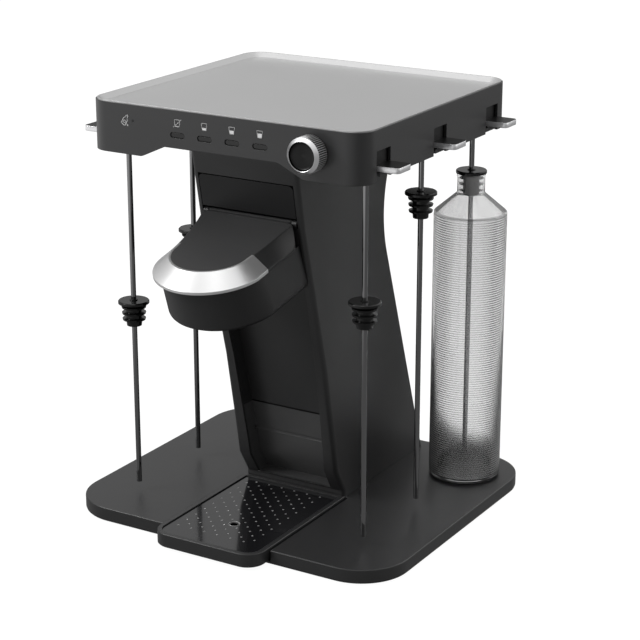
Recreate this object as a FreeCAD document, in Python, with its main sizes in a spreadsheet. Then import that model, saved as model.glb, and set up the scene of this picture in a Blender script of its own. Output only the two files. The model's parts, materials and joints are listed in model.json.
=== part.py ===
"""Cocktail dispenser: a countertop machine that draws spirits through six hanging tubes,
mixes them in a pod chamber and pours into a glass standing on a drip tray.

Modelling frame (millimetres): X to the right of someone facing the machine, Y to the back,
Z up from the underside of the base plate, Y = 0 at the middle of the base plate.
The finished part is seated so that its origin lies on the table, under the middle of its box.
The pod chamber and its lid are drawn in a frame of their own that leans forward.
"""
import FreeCAD, Part
import math
import os
import re

import Sketcher
from FreeCAD import Placement, Rotation, Vector

DRIVING_SIZES = [
    ("base_width", 414.0, "base plate, left to right"),
    ("base_depth", 367.4, "base plate, front to back"),
    ("base_corner", 57.4, "plan radius of the base corners"),
    ("base_top", 16.3, "top face of the base"),
    ("base_edge", 1.4, "rounding along the base's top edge"),
    ("cover_thick", 2.5, "closing plate under the base"),
    ("foot_gap", 1.5, "rubber feet lift the base by this"),
    ("foot_radius", 11.0, "rubber foot"),
    ("wall", 3.0, "wall of the large mouldings"),
    ("bay_across", 148.5, "bottle tubes stand this far left and right"),
    ("bay_pitch", 120.0, "front to back spacing of the bottle tubes"),
    ("tray_half", 68.0, "half width of the drip tray"),
    ("tray_front", 212.5, "tray nose ahead of the base centre"),
    ("tray_back", 20.5, "tray's back end ahead of the base centre"),
    ("tray_top", 18.8, "rim of the drip tray"),
    ("tray_under", 3.0, "underside of the drip tray"),
    ("tray_corner", 21.0, "plan radius of the tray's nose"),
    ("slot_half", 70.6, "half width of the slot that holds the tray"),
    ("slot_back", 18.0, "slot's back end ahead of the base centre"),
    ("plate_inset", 5.4, "rim width round the perforated plate"),
    ("plate_low", 15.2, "underside of the perforated plate"),
    ("plate_high", 17.4, "top of the perforated plate"),
    ("drain_pitch", 17.2, "pitch of the staggered drain holes"),
    ("drain_radius", 1.15, "drain hole"),
    ("column_half", 66.5, "half width of the column"),
    ("column_top", 437.0, "column meets the head here"),
    ("toe_y", -20.0, "column front, foot"),
    ("toe_z", 24.0, "height of the foot"),
    ("ankle_y", -37.0, "column front above the foot"),
    ("ankle_z", 52.0, "height of that bend"),
    ("shin_y", -42.0, "column front, low"),
    ("shin_z", 80.0, "height of that bend"),
    ("belly_y", -62.0, "column front, middle"),
    ("belly_z", 180.0, "height of that bend"),
    ("chest_y", -107.0, "column front behind the pod lid"),
    ("chest_z", 350.0, "height of that bend"),
    ("brow_y", -124.0, "column front under the head"),
    ("heel_y", 166.0, "column back at the base"),
    ("nape_y", 66.5, "narrowest point of the column back"),
    ("nape_z", 332.0, "height of that point"),
    ("nape_radius", 140.0, "hollow of the column back"),
    ("calf_z", 287.0, "the back runs straight below this height"),
    ("mouth_low_half", 49.0, "cavity half width at its foot"),
    ("mouth_high_half", 57.5, "cavity half width at its top"),
    ("mouth_low", 26.0, "foot of the cavity"),
    ("mouth_high", 286.0, "top of the cavity"),
    ("mouth_depth", 21.0, "cavity depth behind the column front"),
    ("seam_z", 116.0, "joint between the two cavity panels"),
    ("groove_z", 81.0, "shadow groove across the lower panel"),
    ("hatch_half", 60.0, "half width of the opening behind the pod chamber"),
    ("hatch_top", 403.0, "top of that opening"),
    ("brow_panel_low", 365.4, "lower edge of the panel over the lid hinge"),
    ("rear_half", 58.0, "half width of the opening in the column back"),
    ("rear_low", 32.0, "foot of that opening"),
    ("rear_high", 424.0, "top of that opening"),
    ("head_half", 170.8, "half width of the head"),
    ("head_front", -162.9, "front face of the head"),
    ("head_back", 166.5, "back face of the head"),
    ("head_corner", 24.5, "plan radius of the head corners"),
    ("head_top", 478.6, "top edge of the head moulding"),
    ("deck_low", 470.0, "underside of the deck that carries the top tray"),
    ("skirt_low", 427.4, "lower edge of the head's side skirt"),
    ("cheek_low", 424.6, "lower edge of the head's front corners"),
    ("cheek_back", -139.0, "the front corners end here"),
    ("arch_high", 438.8, "lower edge of the head's front, middle"),
    ("arch_inner", 69.0, "half width of that raised edge"),
    ("arch_outer", 100.0, "half width where the raised edge has come down"),
    ("top_tray_high", 480.0, "rim of the silver top tray"),
    ("top_tray_low", 473.0, "underside of the top tray"),
    ("top_tray_floor", 474.6, "floor of the top tray"),
    ("top_rim", 1.6, "flat rim of the top tray"),
    ("under_low", 437.3, "underside of the head's bottom plate"),
    ("under_high", 440.3, "top of the head's bottom plate"),
    ("notch_half", 14.3, "half width of a notch in the side skirt"),
    ("notch_high", 457.2, "top of a notch"),
    ("lever_pitch", 122.5, "front to back spacing of the bottle levers"),
    ("lever_shift", -0.8, "middle lever behind the base centre"),
    ("lever_half", 13.6, "half width of a bottle lever"),
    ("lever_low", 437.6, "underside of the lever tongue"),
    ("lever_high", 442.6, "top of the lever tongue"),
    ("lever_reach", 195.5, "tip of the lever tongue"),
    ("lever_axle_x", 121.5, "lever axle, from the middle"),
    ("lever_axle_z", 445.6, "lever axle height"),
    ("rail_low", 425.6, "underside of the tube rail"),
    ("rail_floor", 430.0, "tube heads rest on this"),
    ("tube_radius", 3.0, "outside of a bottle tube"),
    ("tube_bore", 2.0, "inside of a bottle tube"),
    ("tube_low", 27.0, "lower end of a bottle tube"),
    ("button_z", 452.3, "height of the four strength buttons"),
    ("button_first_x", -53.3, "leftmost strength button"),
    ("button_pitch", 34.0, "spacing of the strength buttons"),
    ("button_half", 8.7, "half length of a pill button"),
    ("button_radius", 2.7, "half height of a pill button"),
    ("lamp_x", -110.0, "cleaning lamp"),
    ("lamp_z", 461.5, "cleaning lamp height"),
    ("mix_x", 110.2, "mix button centre"),
    ("mix_z", 453.6, "mix button height"),
    ("mix_radius", 19.2, "mix ring outside"),
    ("mix_face", 15.2, "mix ring opening"),
    ("mix_proud", 20.0, "mix ring stands this far out of the head"),
    ("pod_tilt", 11.0, "lean of the pod chamber, degrees"),
    ("pod_reach", -180.0, "middle of the lid's round front"),
    ("pod_height", 324.3, "height of the lid's lower edge there"),
    ("pod_low", -55.5, "chamber floor, below the lid"),
    ("pod_high", -3.8, "chamber rim, below the lid"),
    ("pod_low_radius", 62.0, "round front of the chamber at its floor"),
    ("pod_low_centre", 15.0, "that round front starts here"),
    ("pod_high_radius", 58.8, "round front of the chamber at its rim"),
    ("pod_high_centre", 4.5, "that round front starts here"),
    ("pod_back_low", 80.4, "chamber back at its floor"),
    ("pod_back_high", 77.0, "chamber back at its rim"),
    ("lid_radius", 63.4, "round front of the lid at its lower edge"),
    ("lid_crown", 30.5, "round front of the lid at the height below"),
    ("lid_crown_w", 26.0, "height of that section"),
    ("lid_crown_half", 57.0, "half width of the lid's back at that height"),
    ("lid_rim", 3.0, "upright rim of the lid"),
    ("lid_thick", 13.8, "lid thickness over its round front"),
    ("lid_back", 75.0, "back of the lid"),
    ("lid_back_corner", 15.0, "plan radius of the lid's back corners"),
    ("lid_back_thick", 22.8, "lid thickness at its back"),
    ("trim_thick", 2.4, "silver trim round the lid's front"),
    ("trim_back", 9.5, "the trim ends here"),
    ("axle_v", 79.7, "lid axle behind the round front"),
    ("axle_w", 19.4, "lid axle above the lid's lower edge"),
    ("cup_centre", 8.0, "capsule cup behind the round front"),
    ("cup_radius", 38.0, "capsule cup outside"),
    ("carafe_radius", 41.6, "water carafe"),
    ("carafe_shoulder", 334.0, "foot of the carafe's shoulder"),
    ("carafe_neck", 357.0, "top of the carafe's shoulder"),
    ("carafe_top", 379.0, "mouth of the carafe"),
    ("neck_radius", 16.5, "neck of the carafe"),
    ("neck_bore", 14.3, "inside of the carafe's neck"),
    ("disc_radius", 17.5, "stopper flange"),
    ("disc_thick", 3.5, "stopper flange thickness"),
    ("fin_radius", 14.0, "widest of a stopper's three fins"),
]

# Height of each stopper's upper face, by bay
STOPPER_TOPS = {
    "left_front": 246.0,
    "left_middle": 301.0,
    "left_rear": 330.0,
    "right_front": 293.0,
    "right_middle": 384.0,
    "right_rear": 382.5,
}
SIDES = {"left": -1, "right": 1}
ROWS = {"front": -1, "middle": 0, "rear": 1}

doc = FreeCAD.newDocument("cocktail_dispenser")
sheet = doc.addObject("Spreadsheet::Sheet", "sizes")
for row, (alias, number, meaning) in enumerate(DRIVING_SIZES, start=1):
    sheet.set(f"A{row}", alias)
    sheet.set(f"B{row}", str(number))
    sheet.set(f"C{row}", meaning)
    sheet.setAlias(f"B{row}", alias)
doc.recompute()

ALIASES = {alias for alias, number, meaning in DRIVING_SIZES}
pieces = {}


# ---------------------------------------------------------------- helpers
def with_sheet(formula):
    """Turn a formula written in plain aliases into one that reads the spreadsheet."""
    return re.sub(r"[a-z_]+", lambda word: f"sizes.{word[0]}" if word[0] in ALIASES else word[0],
                  str(formula))


def bind(thing, place, formula):
    """Tie one property of an object to the driving sizes."""
    thing.setExpression(place, with_sheet(formula))


def value(formula):
    """What a formula comes to now, as a plain number."""
    return float(sheet.evalExpression(with_sheet(formula)))


def new_body(label):
    """Start a body that will be exported under its label."""
    body = doc.addObject("PartDesign::Body", label)
    body.Label = label
    return body


def place_sketch(owner, name, plane, lift):
    """An empty sketch on one of the owner's origin planes, moved along that plane's normal."""
    if owner is doc:
        turned = {"XY": Rotation(), "XZ": Rotation(Vector(1, 0, 0), 90),
                  "YZ": Rotation(Vector(1, 1, 1), 120)}[plane]
        normal = turned.multVec(Vector(0, 0, 1))
        sketch = doc.addObject("Sketcher::SketchObject", name)
        sketch.Placement = Placement(normal * value(lift), turned)
        return sketch
    sketch = owner.newObject("Sketcher::SketchObject", name)
    origin_plane = [item for item in owner.Origin.OriginFeatures if item.Role == plane + "_Plane"][0]
    sketch.AttachmentSupport = [(origin_plane, "")]
    sketch.MapMode = "FlatFace"
    bind(sketch, "AttachmentOffset.Base.z", lift)
    return sketch


def pin_point(sketch, side, end, across, up):
    """Fix one end of a side by its two coordinates."""
    for direction, formula in (("DistanceX", across), ("DistanceY", up)):
        number = sketch.addConstraint(
            Sketcher.Constraint(direction, -1, 1, side, end, value(formula)))
        bind(sketch, f"Constraints[{number}]", formula)


def outline(owner, name, plane, corners, lift="0"):
    """A closed outline through corners given as formulas.

    A corner may go on to describe a round side that starts there: a formula pair for a point
    on the arc, a formula for its centre's height, or for its place across with "DistanceX" added.
    """
    sketch = place_sketch(owner, name, plane, lift)
    spots = [Vector(value(corner[0]), value(corner[1]), 0) for corner in corners]
    ends = []
    for number, corner in enumerate(corners):
        start, finish = spots[number], spots[(number + 1) % len(spots)]
        if len(corner) == 2:
            side = sketch.addGeometry(Part.LineSegment(start, finish), False)
            ends.append((side, 1, 2))
            continue
        (middle_x, middle_y), centre = corner[2], corner[3]
        middle = Vector(value(middle_x), value(middle_y), 0)
        forward = (middle - start).cross(finish - middle).z > 0
        arc = Part.Arc(start, middle, finish) if forward else Part.Arc(finish, middle, start)
        side = sketch.addGeometry(arc, False)
        ends.append((side, 1, 2) if forward else (side, 2, 1))
        direction = corner[4] if len(corner) > 4 else "DistanceY"
        fixed = sketch.addConstraint(Sketcher.Constraint(direction, -1, 1, side, 3, value(centre)))
        bind(sketch, f"Constraints[{fixed}]", centre)
    for number, corner in enumerate(corners):
        side, first, last = ends[number]
        before = ends[number - 1]
        sketch.addConstraint(Sketcher.Constraint("Coincident", before[0], before[2], side, first))
        pin_point(sketch, side, first, corner[0], corner[1])
    return sketch


def circles(owner, name, plane, rounds, lift="0"):
    """Circles given as formulas for both centre coordinates and the radius."""
    sketch = place_sketch(owner, name, plane, lift)
    for across, up, radius in rounds:
        centre = Vector(value(across), value(up), 0)
        ring = sketch.addGeometry(Part.Circle(centre, Vector(0, 0, 1), value(radius)), False)
        pin_point(sketch, ring, 3, across, up)
        number = sketch.addConstraint(Sketcher.Constraint("Radius", ring, value(radius)))
        bind(sketch, f"Constraints[{number}]", radius)
    return sketch


def round_corner(across, up, into, out, radius):
    """A corner rounded between two level or upright directions, each a pair of signs."""
    def shifted(along_into, along_out):
        """The corner moved along the two directions by shares of the radius."""
        share_x = along_into * into[0] + along_out * out[0]
        share_y = along_into * into[1] + along_out * out[1]
        return f"{across} + {share_x} * ({radius})", f"{up} + {share_y} * ({radius})"
    bulge = 1 - math.sqrt(0.5)
    start, centre, finish = shifted(-1, 0), shifted(-1, 1), shifted(0, 1)
    return [start + (shifted(-bulge, bulge), centre[1]), finish]


def rectangle(left, right, near, far, radius=None, rounded=(True, True, True, True)):
    """Corners of an upright rectangle, anticlockwise, with any of them rounded."""
    corners = [(left, near, (0, -1), (1, 0)), (right, near, (1, 0), (0, 1)),
               (right, far, (0, 1), (-1, 0)), (left, far, (-1, 0), (0, -1))]
    points = []
    for (across, up, into, out), soft in zip(corners, rounded):
        if radius is None or not soft:
            points.append((across, up))
        else:
            points += round_corner(across, up, into, out, radius)
    return points


def centred(half_across, half_up, radius=None):
    """Corners of a rectangle about the origin."""
    return rectangle(f"-({half_across})", f"({half_across})", f"-({half_up})", f"({half_up})",
                     radius)


def extrude(body, kind, sketch, length, both=False, flip=False, taper=None):
    """Pad or pocket a sketch: away from its normal for a pocket, along it for a pad."""
    feature = body.newObject("PartDesign::" + kind, kind)
    feature.Profile = sketch
    feature.SideType = "Symmetric" if both else "One side"
    feature.Reversed = flip
    bind(feature, "Length", length)
    if taper is not None:
        bind(feature, "TaperAngle", taper)
    doc.recompute()
    return feature


def pad(body, sketch, length, **how):
    """Add the sketch's prism to the body."""
    return extrude(body, "Pad", sketch, length, **how)


def pocket(body, sketch, length, **how):
    """Cut the sketch's prism out of the body."""
    return extrude(body, "Pocket", sketch, length, **how)


def spin(body, sketch, axis, kind="Revolution"):
    """Turn a sketch once round one of its own axes."""
    feature = body.newObject("PartDesign::" + kind, kind)
    feature.Profile = sketch
    feature.ReferenceAxis = (sketch, [axis])
    feature.Angle = 360
    doc.recompute()
    return feature


def soften(body, wanted, size, kind="Fillet"):
    """Round or bevel every edge of the body that the test accepts."""
    doc.recompute()
    base = body.Tip
    names = [f"Edge{number}" for number, edge in enumerate(base.Shape.Edges, start=1) if wanted(edge)]
    if not names:
        raise ValueError(f"{body.Label}: no edge to soften")
    feature = body.newObject("PartDesign::" + kind, kind)
    feature.Base = (base, names)
    bind(feature, "Radius" if kind == "Fillet" else "Size", size)
    doc.recompute()
    return feature


def near(first, second, slack=0.05):
    """Whether two lengths agree."""
    return abs(first - second) < slack


def upright_at(spots):
    """Test for edges that stand upright at one of the given plan points."""
    def wanted(edge):
        box = edge.BoundBox
        if box.XLength > 0.05 or box.YLength > 0.05:
            return False
        return any(near(box.XMin, across) and near(box.YMin, along) for across, along in spots)
    return wanted


def in_plane_z(height):
    """Test for edges that lie level at a height."""
    return lambda edge: near(edge.BoundBox.ZMin, height) and near(edge.BoundBox.ZMax, height)


def box(name, left, right, front, back, low, high):
    """A block between six faces, each given as a formula."""
    block = doc.addObject("Part::Box", name)
    bind(block, "Length", f"({right}) - ({left})")
    bind(block, "Width", f"({back}) - ({front})")
    bind(block, "Height", f"({high}) - ({low})")
    bind(block, "Placement.Base.x", left)
    bind(block, "Placement.Base.y", front)
    bind(block, "Placement.Base.z", low)
    return block


TURNS = {"Z": Rotation(), "X": Rotation(Vector(0, 1, 0), 90), "Y": Rotation(Vector(1, 0, 0), -90)}


def rod(name, radius, length, start, along="Z"):
    """A cylinder that starts at a point given as three formulas and runs along an axis."""
    cylinder = doc.addObject("Part::Cylinder", name)
    cylinder.Placement = Placement(Vector(), TURNS[along])
    bind(cylinder, "Radius", radius)
    bind(cylinder, "Height", length)
    for letter, formula in zip("xyz", start):
        bind(cylinder, f"Placement.Base.{letter}", formula)
    return cylinder


def joined(name, members):
    """One solid from several that touch or overlap."""
    fusion = doc.addObject("Part::MultiFuse", name)
    fusion.Shapes = members
    fusion.Refine = True
    return fusion


def without(name, base, tools):
    """The base with every tool taken out of it."""
    for number, tool in enumerate(tools, start=1):
        last = number == len(tools)
        cut = doc.addObject("Part::Cut", name if last else f"{name}_cut_{number}")
        cut.Base = base
        cut.Tool = tool
        base = cut
    return base


def overlap(name, members):
    """What several solids have in common."""
    common = doc.addObject("Part::MultiCommon", name)
    common.Shapes = members
    return common


def group(name, members):
    """Separate like solids kept as one sub-part."""
    compound = doc.addObject("Part::Compound", name)
    compound.Links = members
    return compound


def prism(name, sketch, length, both=True):
    """A solid from a loose sketch, extruded along its normal."""
    solid = doc.addObject("Part::Extrusion", name)
    solid.Base = sketch
    solid.DirMode = "Normal"
    solid.Solid = True
    solid.Symmetric = both
    bind(solid, "LengthFwd", length)
    return solid


def loft(name, sections):
    """A ruled solid between two loose sketches."""
    solid = doc.addObject("Part::Loft", name)
    solid.Sections = sections
    solid.Solid = True
    solid.Ruled = True
    return solid


FOREMOST = -value("pod_reach") + value("lid_radius") * math.cos(math.radians(value("pod_tilt")))
FRAME_SHIFT = Vector(0, (FOREMOST - value("base_depth / 2")) / 2, value("foot_gap"))
POD_TURN = Rotation(Vector(1, 0, 0), value("pod_tilt"))
POD_SEAT = Placement(Vector(0, value("pod_reach"), value("pod_height")), POD_TURN)


def keep(label, solid, local=None, leaning=False):
    """Seat a finished sub-part in the machine and list it for export."""
    seat = Placement(FRAME_SHIFT, Rotation())
    if local is not None:
        seat = seat.multiply(Placement(local, Rotation()))
    if leaning:
        seat = seat.multiply(POD_SEAT)
    solid.Label = label
    solid.Placement = seat
    pieces[label] = solid
    return solid


def bays():
    """Name, side sign and row number of each of the six bottle places."""
    for side, sign in SIDES.items():
        for row_name, row_number in ROWS.items():
            yield f"{side}_{row_name}", sign, row_number


# ---------------------------------------------------------------- base
SCREW_SPOTS = [(-188, -85), (188, -85), (-188, 85), (188, 85), (-70, 165), (70, 165)]
FOOT_SPOTS = [(-150, -130), (150, -130), (-150, 130), (150, 130)]


def make_base_shell():
    """Hollow slab with rounded corners and a slot for the drip tray."""
    body = new_body("base_shell")
    pad(body, outline(body, "base_plan", "XY",
                      centred("base_width / 2", "base_depth / 2", "base_corner"), "cover_thick"),
        "base_top - cover_thick")
    soften(body, in_plane_z(value("base_top")), "base_edge")
    slot = rectangle("-slot_half", "slot_half", "-base_depth", "-slot_back")
    pocket(body, outline(body, "tray_slot", "XY", slot, "base_top + 1"), "base_top")
    inner_x, inner_y = "(base_width / 2 - wall)", "(base_depth / 2 - wall)"
    shoulder = "(slot_half + wall)"
    hollow = rectangle(f"-{inner_x}", inner_x, f"-{inner_y}", inner_y, "base_corner - wall")
    hollow[2:2] = [(f"-{shoulder}", f"-{inner_y}"), (f"-{shoulder}", "-slot_back + wall"),
                   (shoulder, "-slot_back + wall"), (shoulder, f"-{inner_y}")]
    pocket(body, outline(body, "base_hollow", "XY", hollow, "cover_thick"),
           "base_top - cover_thick - wall", flip=True)
    bosses = [(x, y, "4.2") for x, y in SCREW_SPOTS]
    pad(body, circles(body, "screw_bosses", "XY", bosses, "cover_thick"),
        "base_top - cover_thick - 1.5")
    bores = [(x, y, "1.6") for x, y in SCREW_SPOTS]
    pocket(body, circles(body, "screw_bores", "XY", bores, "cover_thick"), "9", flip=True)
    return keep("base_shell", body)


def make_bottom_cover():
    """Flat plate that closes the base and carries the drip tray."""
    body = new_body("base_bottom_cover")
    plan = centred("base_width / 2 - 0.6", "base_depth / 2 - 0.6", "base_corner - 0.6")
    pad(body, outline(body, "cover_plan", "XY", plan), "cover_thick")
    soften(body, in_plane_z(0), "0.9", "Chamfer")
    holes = [(x, y, "1.9") for x, y in SCREW_SPOTS]
    pocket(body, circles(body, "cover_holes", "XY", holes, "cover_thick"), "cover_thick")
    return keep("base_bottom_cover", body)


def make_feet():
    """Four rubber feet under the corners."""
    feet = []
    for number, (across, along) in enumerate(FOOT_SPOTS, start=1):
        foot = doc.addObject("Part::Cone", f"foot_{number}")
        bind(foot, "Radius1", "foot_radius - 1")
        bind(foot, "Radius2", "foot_radius")
        bind(foot, "Height", "foot_gap")
        bind(foot, "Placement.Base.z", "-foot_gap")
        foot.Placement.Base = Vector(across, along, -value("foot_gap"))
        feet.append(foot)
    return keep("rubber_feet", group("rubber_feet", feet))


def make_cover_screws():
    """Pan-head screws that hold the bottom cover."""
    screws = []
    for number, (across, along) in enumerate(SCREW_SPOTS, start=1):
        head = rod(f"screw_head_{number}", "3.4", "1.1", (across, along, "-1.1"))
        shank = rod(f"screw_shank_{number}", "1.5", "9.1", (across, along, "-0.1"))
        screws.append(joined(f"screw_{number}", [head, shank]))
    return keep("cover_screws", group("cover_screws", screws))


# ---------------------------------------------------------------- drip tray
def tray_plan(inset):
    """The drip tray's plan, drawn in by an inset: square at the back, round at the nose."""
    return rectangle(f"-tray_half + {inset}", f"tray_half - {inset}", f"-tray_front + {inset}",
                     f"-tray_back - {inset}", f"tray_corner - {inset}", (True, True, False, False))


def make_drip_tray():
    """Shallow tray with a round nose, a ledge for the plate and a sump below it."""
    body = new_body("drip_tray")
    pad(body, outline(body, "tray_plan", "XY", tray_plan("0"), "tray_under"),
        "tray_top - tray_under")
    soften(body, in_plane_z(value("tray_top")), "1.2")
    soften(body, in_plane_z(value("tray_under")), "1", "Chamfer")
    pocket(body, outline(body, "plate_seat", "XY", tray_plan("plate_inset"), "tray_top"),
           "tray_top - plate_low")
    pocket(body, outline(body, "sump", "XY", tray_plan("(plate_inset + 4)"), "plate_low"),
           "plate_low - tray_under - 2.5")
    return keep("drip_tray", body)


def make_drip_plate():
    """Glossy plate with staggered drain holes and a finger hole."""
    body = new_body("drip_plate")
    pad(body, outline(body, "plate_plan", "XY", tray_plan("(plate_inset + 0.4)"), "plate_low"),
        "plate_high - plate_low")
    first = circles(body, "first_drains", "XY",
                    [("-3 * drain_pitch", "-tray_front + 31.5", "drain_radius"),
                     ("-2.5 * drain_pitch", "-tray_front + 31.5 + drain_pitch / 2",
                      "drain_radius")], "plate_high")
    drains = pocket(body, first, "plate_high - plate_low")
    across = body.newObject("PartDesign::LinearPattern", "drains_across")
    across.Direction = (first, ["H_Axis"])
    bind(across, "Length", "5 * drain_pitch")
    across.Occurrences = 6
    along = body.newObject("PartDesign::LinearPattern", "drains_along")
    along.Direction = (first, ["V_Axis"])
    bind(along, "Length", "8 * drain_pitch")
    along.Occurrences = 9
    grid = body.newObject("PartDesign::MultiTransform", "drain_grid")
    grid.Originals = [drains]
    grid.Transformations = [across, along]
    body.Tip = grid
    doc.recompute()
    pocket(body, circles(body, "finger_hole", "XY", [("0", "-147", "6.5")], "plate_high"),
           "plate_high - plate_low")
    return keep("drip_plate", body)


# ---------------------------------------------------------------- column
FRONT_LINE = [("toe_y", "toe_z"), ("ankle_y", "ankle_z"), ("shin_y", "shin_z"),
              ("belly_y", "belly_z"), ("chest_y", "chest_z")]


def nape_at(height):
    """Formula for the column's back face at a height on its hollow."""
    return f"nape_y + nape_radius - sqrt(nape_radius ^ 2 - (({height}) - nape_z) ^ 2)"


def calf_at(height):
    """Formula for the column's back face at a height on its straight lower part."""
    calf = nape_at("calf_z")
    return f"heel_y + (({calf}) - heel_y) * (({height}) - base_top) / (calf_z - base_top)"


def front_at(height, low, high):
    """Formula for the column's front face between two named bends."""
    return (f"{low}_y + ({high}_y - {low}_y) * (({height}) - {low}_z) / ({high}_z - {low}_z)")


def column_outline(inset, low, high):
    """Side view of the column, drawn in by an inset at the front and back."""
    calf_y = f"{nape_at('calf_z')} - {inset}"
    corners = [(f"toe_y + {inset}", low)]
    corners += [(f"{y} + {inset}", z) for y, z in FRONT_LINE]
    corners += [(f"brow_y + {inset}", high)]
    corners += [(f"{nape_at(high)} - {inset}", high, (f"nape_y - {inset}", "nape_z"), "nape_z")]
    corners += [(calf_y, "calf_z"), (f"{calf_at(low)} - {inset}", low)]
    return corners


def make_column_shell():
    """Leaning hollow column: two flanks, narrow front lips and a waisted back frame."""
    body = new_body("column_shell")
    pad(body, outline(body, "column_side", "YZ", column_outline("0", "base_top", "column_top")),
        "2 * column_half", both=True)
    half = value("column_half")
    fronts = [value(y) for y, z in FRONT_LINE] + [value("brow_y")]

    def front_corner(edge):
        """Whether an edge runs up one of the two front corners."""
        limits = edge.BoundBox
        return (near(abs(limits.XMin), half) and limits.XLength < 0.05 and limits.ZLength > 5
                and any(near(limits.YMin, y) for y in fronts) and limits.YMax < 0)
    soften(body, front_corner, "5")
    pocket(body, outline(body, "column_hollow", "YZ",
                         column_outline("wall", "(base_top + wall)", "(column_top - wall)")),
           "2 * (column_half - wall)", both=True)
    mouth = [("-mouth_low_half", "mouth_low"), ("mouth_low_half", "mouth_low"),
             ("mouth_high_half", "mouth_high"), ("-mouth_high_half", "mouth_high")]
    pocket(body, outline(body, "mouth", "XZ", mouth, "200"), "200 - 16")
    hatch = rectangle("-hatch_half", "hatch_half", "mouth_high", "hatch_top")
    pocket(body, outline(body, "hatch", "XZ", hatch, "200"), "200 - 60")
    shaft = rectangle("-46", "46", "-60", "78")
    pocket(body, outline(body, "wiring_opening", "XY", shaft, "column_top"), "wall + 1")
    rear = rectangle("-rear_half", "rear_half", "rear_low", "rear_high")
    pocket(body, outline(body, "rear_opening", "XZ", rear, "-200"), "200 - 60", flip=True)
    return keep("column_shell", body)


def make_rear_cover():
    """Waisted cover in the column's back, with louvres and a hole for the cord gland."""
    body = new_body("column_rear_cover")
    low, high = "(rear_low + 0.3)", "(rear_high - 0.3)"
    strip = [(calf_at(low), low), (nape_at("calf_z"), "calf_z", ("nape_y", "nape_z"), "nape_z"),
             (nape_at(high), high),
             (f"{nape_at(high)} - 3", high, ("nape_y - 3", "nape_z"), "nape_z"),
             (f"{nape_at('calf_z')} - 3", "calf_z"), (f"{calf_at(low)} - 3", low)]
    pad(body, outline(body, "cover_side", "YZ", strip), "2 * (rear_half - 0.3)", both=True)
    louvre = outline(body, "louvre", "XZ", rectangle("-34", "34", "180", "183.2"), "-200")
    cut = pocket(body, louvre, "200", flip=True)
    row = body.newObject("PartDesign::LinearPattern", "louvres")
    row.Originals = [cut]
    row.Direction = (louvre, ["V_Axis"])
    row.Length = 72
    row.Occurrences = 10
    body.Tip = row
    doc.recompute()
    pocket(body, circles(body, "gland_hole", "XZ", [("0", "52", "7")], "-200"), "80", flip=True)
    return keep("column_rear_cover", body)


def make_cord_gland():
    """Round gland through which the mains cord would leave."""
    body = new_body("cord_gland")
    profile = [("3.6", "147"), ("6.95", "147"), ("6.95", "158.3"), ("9.5", "158.3"),
               ("8.5", "162.6"), ("5", "163.6"), ("3.6", "163.6")]
    spin(body, outline(body, "gland_side", "XY", profile), "V_Axis")
    return keep("cord_gland", body, Vector(0, 0, 52))


def make_brow_panel():
    """Flush panel between the lid hinge and the head."""
    body = new_body("brow_panel")
    low, high = "brow_panel_low", "(hatch_top - 1.1)"
    brow = "brow_y"
    def line_at(height):
        """Formula for the front face above the chest."""
        return f"chest_y + ({brow} - chest_y) * (({height}) - chest_z) / (column_top - chest_z)"
    strip = [(line_at(low), low), (f"{line_at(low)} + wall", low),
             (f"{line_at(high)} + wall", high), (line_at(high), high)]
    half = "(hatch_half - 0.9)"
    pad(body, outline(body, "panel_side", "YZ", strip), f"2 * {half}", both=True)

    def top_corner(edge):
        """Whether an edge is one of the panel's two upper corners."""
        limits = edge.BoundBox
        return (near(abs(limits.XMin), value(half)) and near(limits.ZMin, value(high))
                and limits.XLength < 0.05 and limits.ZLength < 0.05)
    soften(body, top_corner, "5")
    return keep("brow_panel", body)


def cavity_line(step):
    """The front line moved back by a step, up to the top of the cavity."""
    line = [(f"{y} + {step}", z) for y, z in FRONT_LINE[:4]]
    return line + [(f"{front_at('mouth_high', 'belly', 'chest')} + {step}", "mouth_high")]


def make_cavity_panels():
    """Two panels that line the cavity behind the glass, one above the other."""
    front, back = cavity_line("3.4"), cavity_line("mouth_depth + 2.6")
    liner = [("toe_y + 3.4", "20")] + front
    top_step = "(mouth_high + 3.5)"
    liner += [(f"{front[-1][0]} - 1", top_step), (f"{back[-1][0]} - 1", top_step)]
    liner += back[::-1] + [("toe_y + mouth_depth + 2.6", "20")]
    outer = prism("liner_block", outline(doc, "liner_side", "YZ", liner), "2 * (column_half - 3.4)")
    reach = [("-230", "mouth_low"), (f"{front_at('mouth_low', 'toe', 'ankle')} + mouth_depth",
                                     "mouth_low")]
    reach += cavity_line("mouth_depth")[1:] + [("-230", "mouth_high")]
    side_cut = prism("cavity_side_cut", outline(doc, "cavity_side", "YZ", reach), "300")
    mouth = [("-mouth_low_half", "mouth_low - 1"), ("mouth_low_half", "mouth_low - 1"),
             ("mouth_high_half", "mouth_high + 1"), ("-mouth_high_half", "mouth_high + 1")]
    front_cut = prism("cavity_front_cut", outline(doc, "cavity_front", "XZ", mouth), "600")
    cavity = overlap("cavity_space", [side_cut, front_cut])
    lined = without("cavity_liner", outer, [cavity])
    upper_zone = box("upper_zone", -100, 100, -300, 100, "seam_z + 0.3", "mouth_high + 20")
    lower_zone = box("lower_zone", -100, 100, -300, 100, 0, "seam_z - 0.3")
    groove_line = f"{front_at('groove_z', 'shin', 'belly')} + mouth_depth"
    groove = box("panel_groove", -100, 100, groove_line + " - 3", groove_line + " + 1",
                 "groove_z - 2", "groove_z + 2")
    lower = overlap("lower_panel_block", [lined, lower_zone])
    keep("cavity_upper_panel", overlap("cavity_upper_panel", [lined, upper_zone]))
    keep("splash_panel", without("splash_panel", lower, [groove]))


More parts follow.
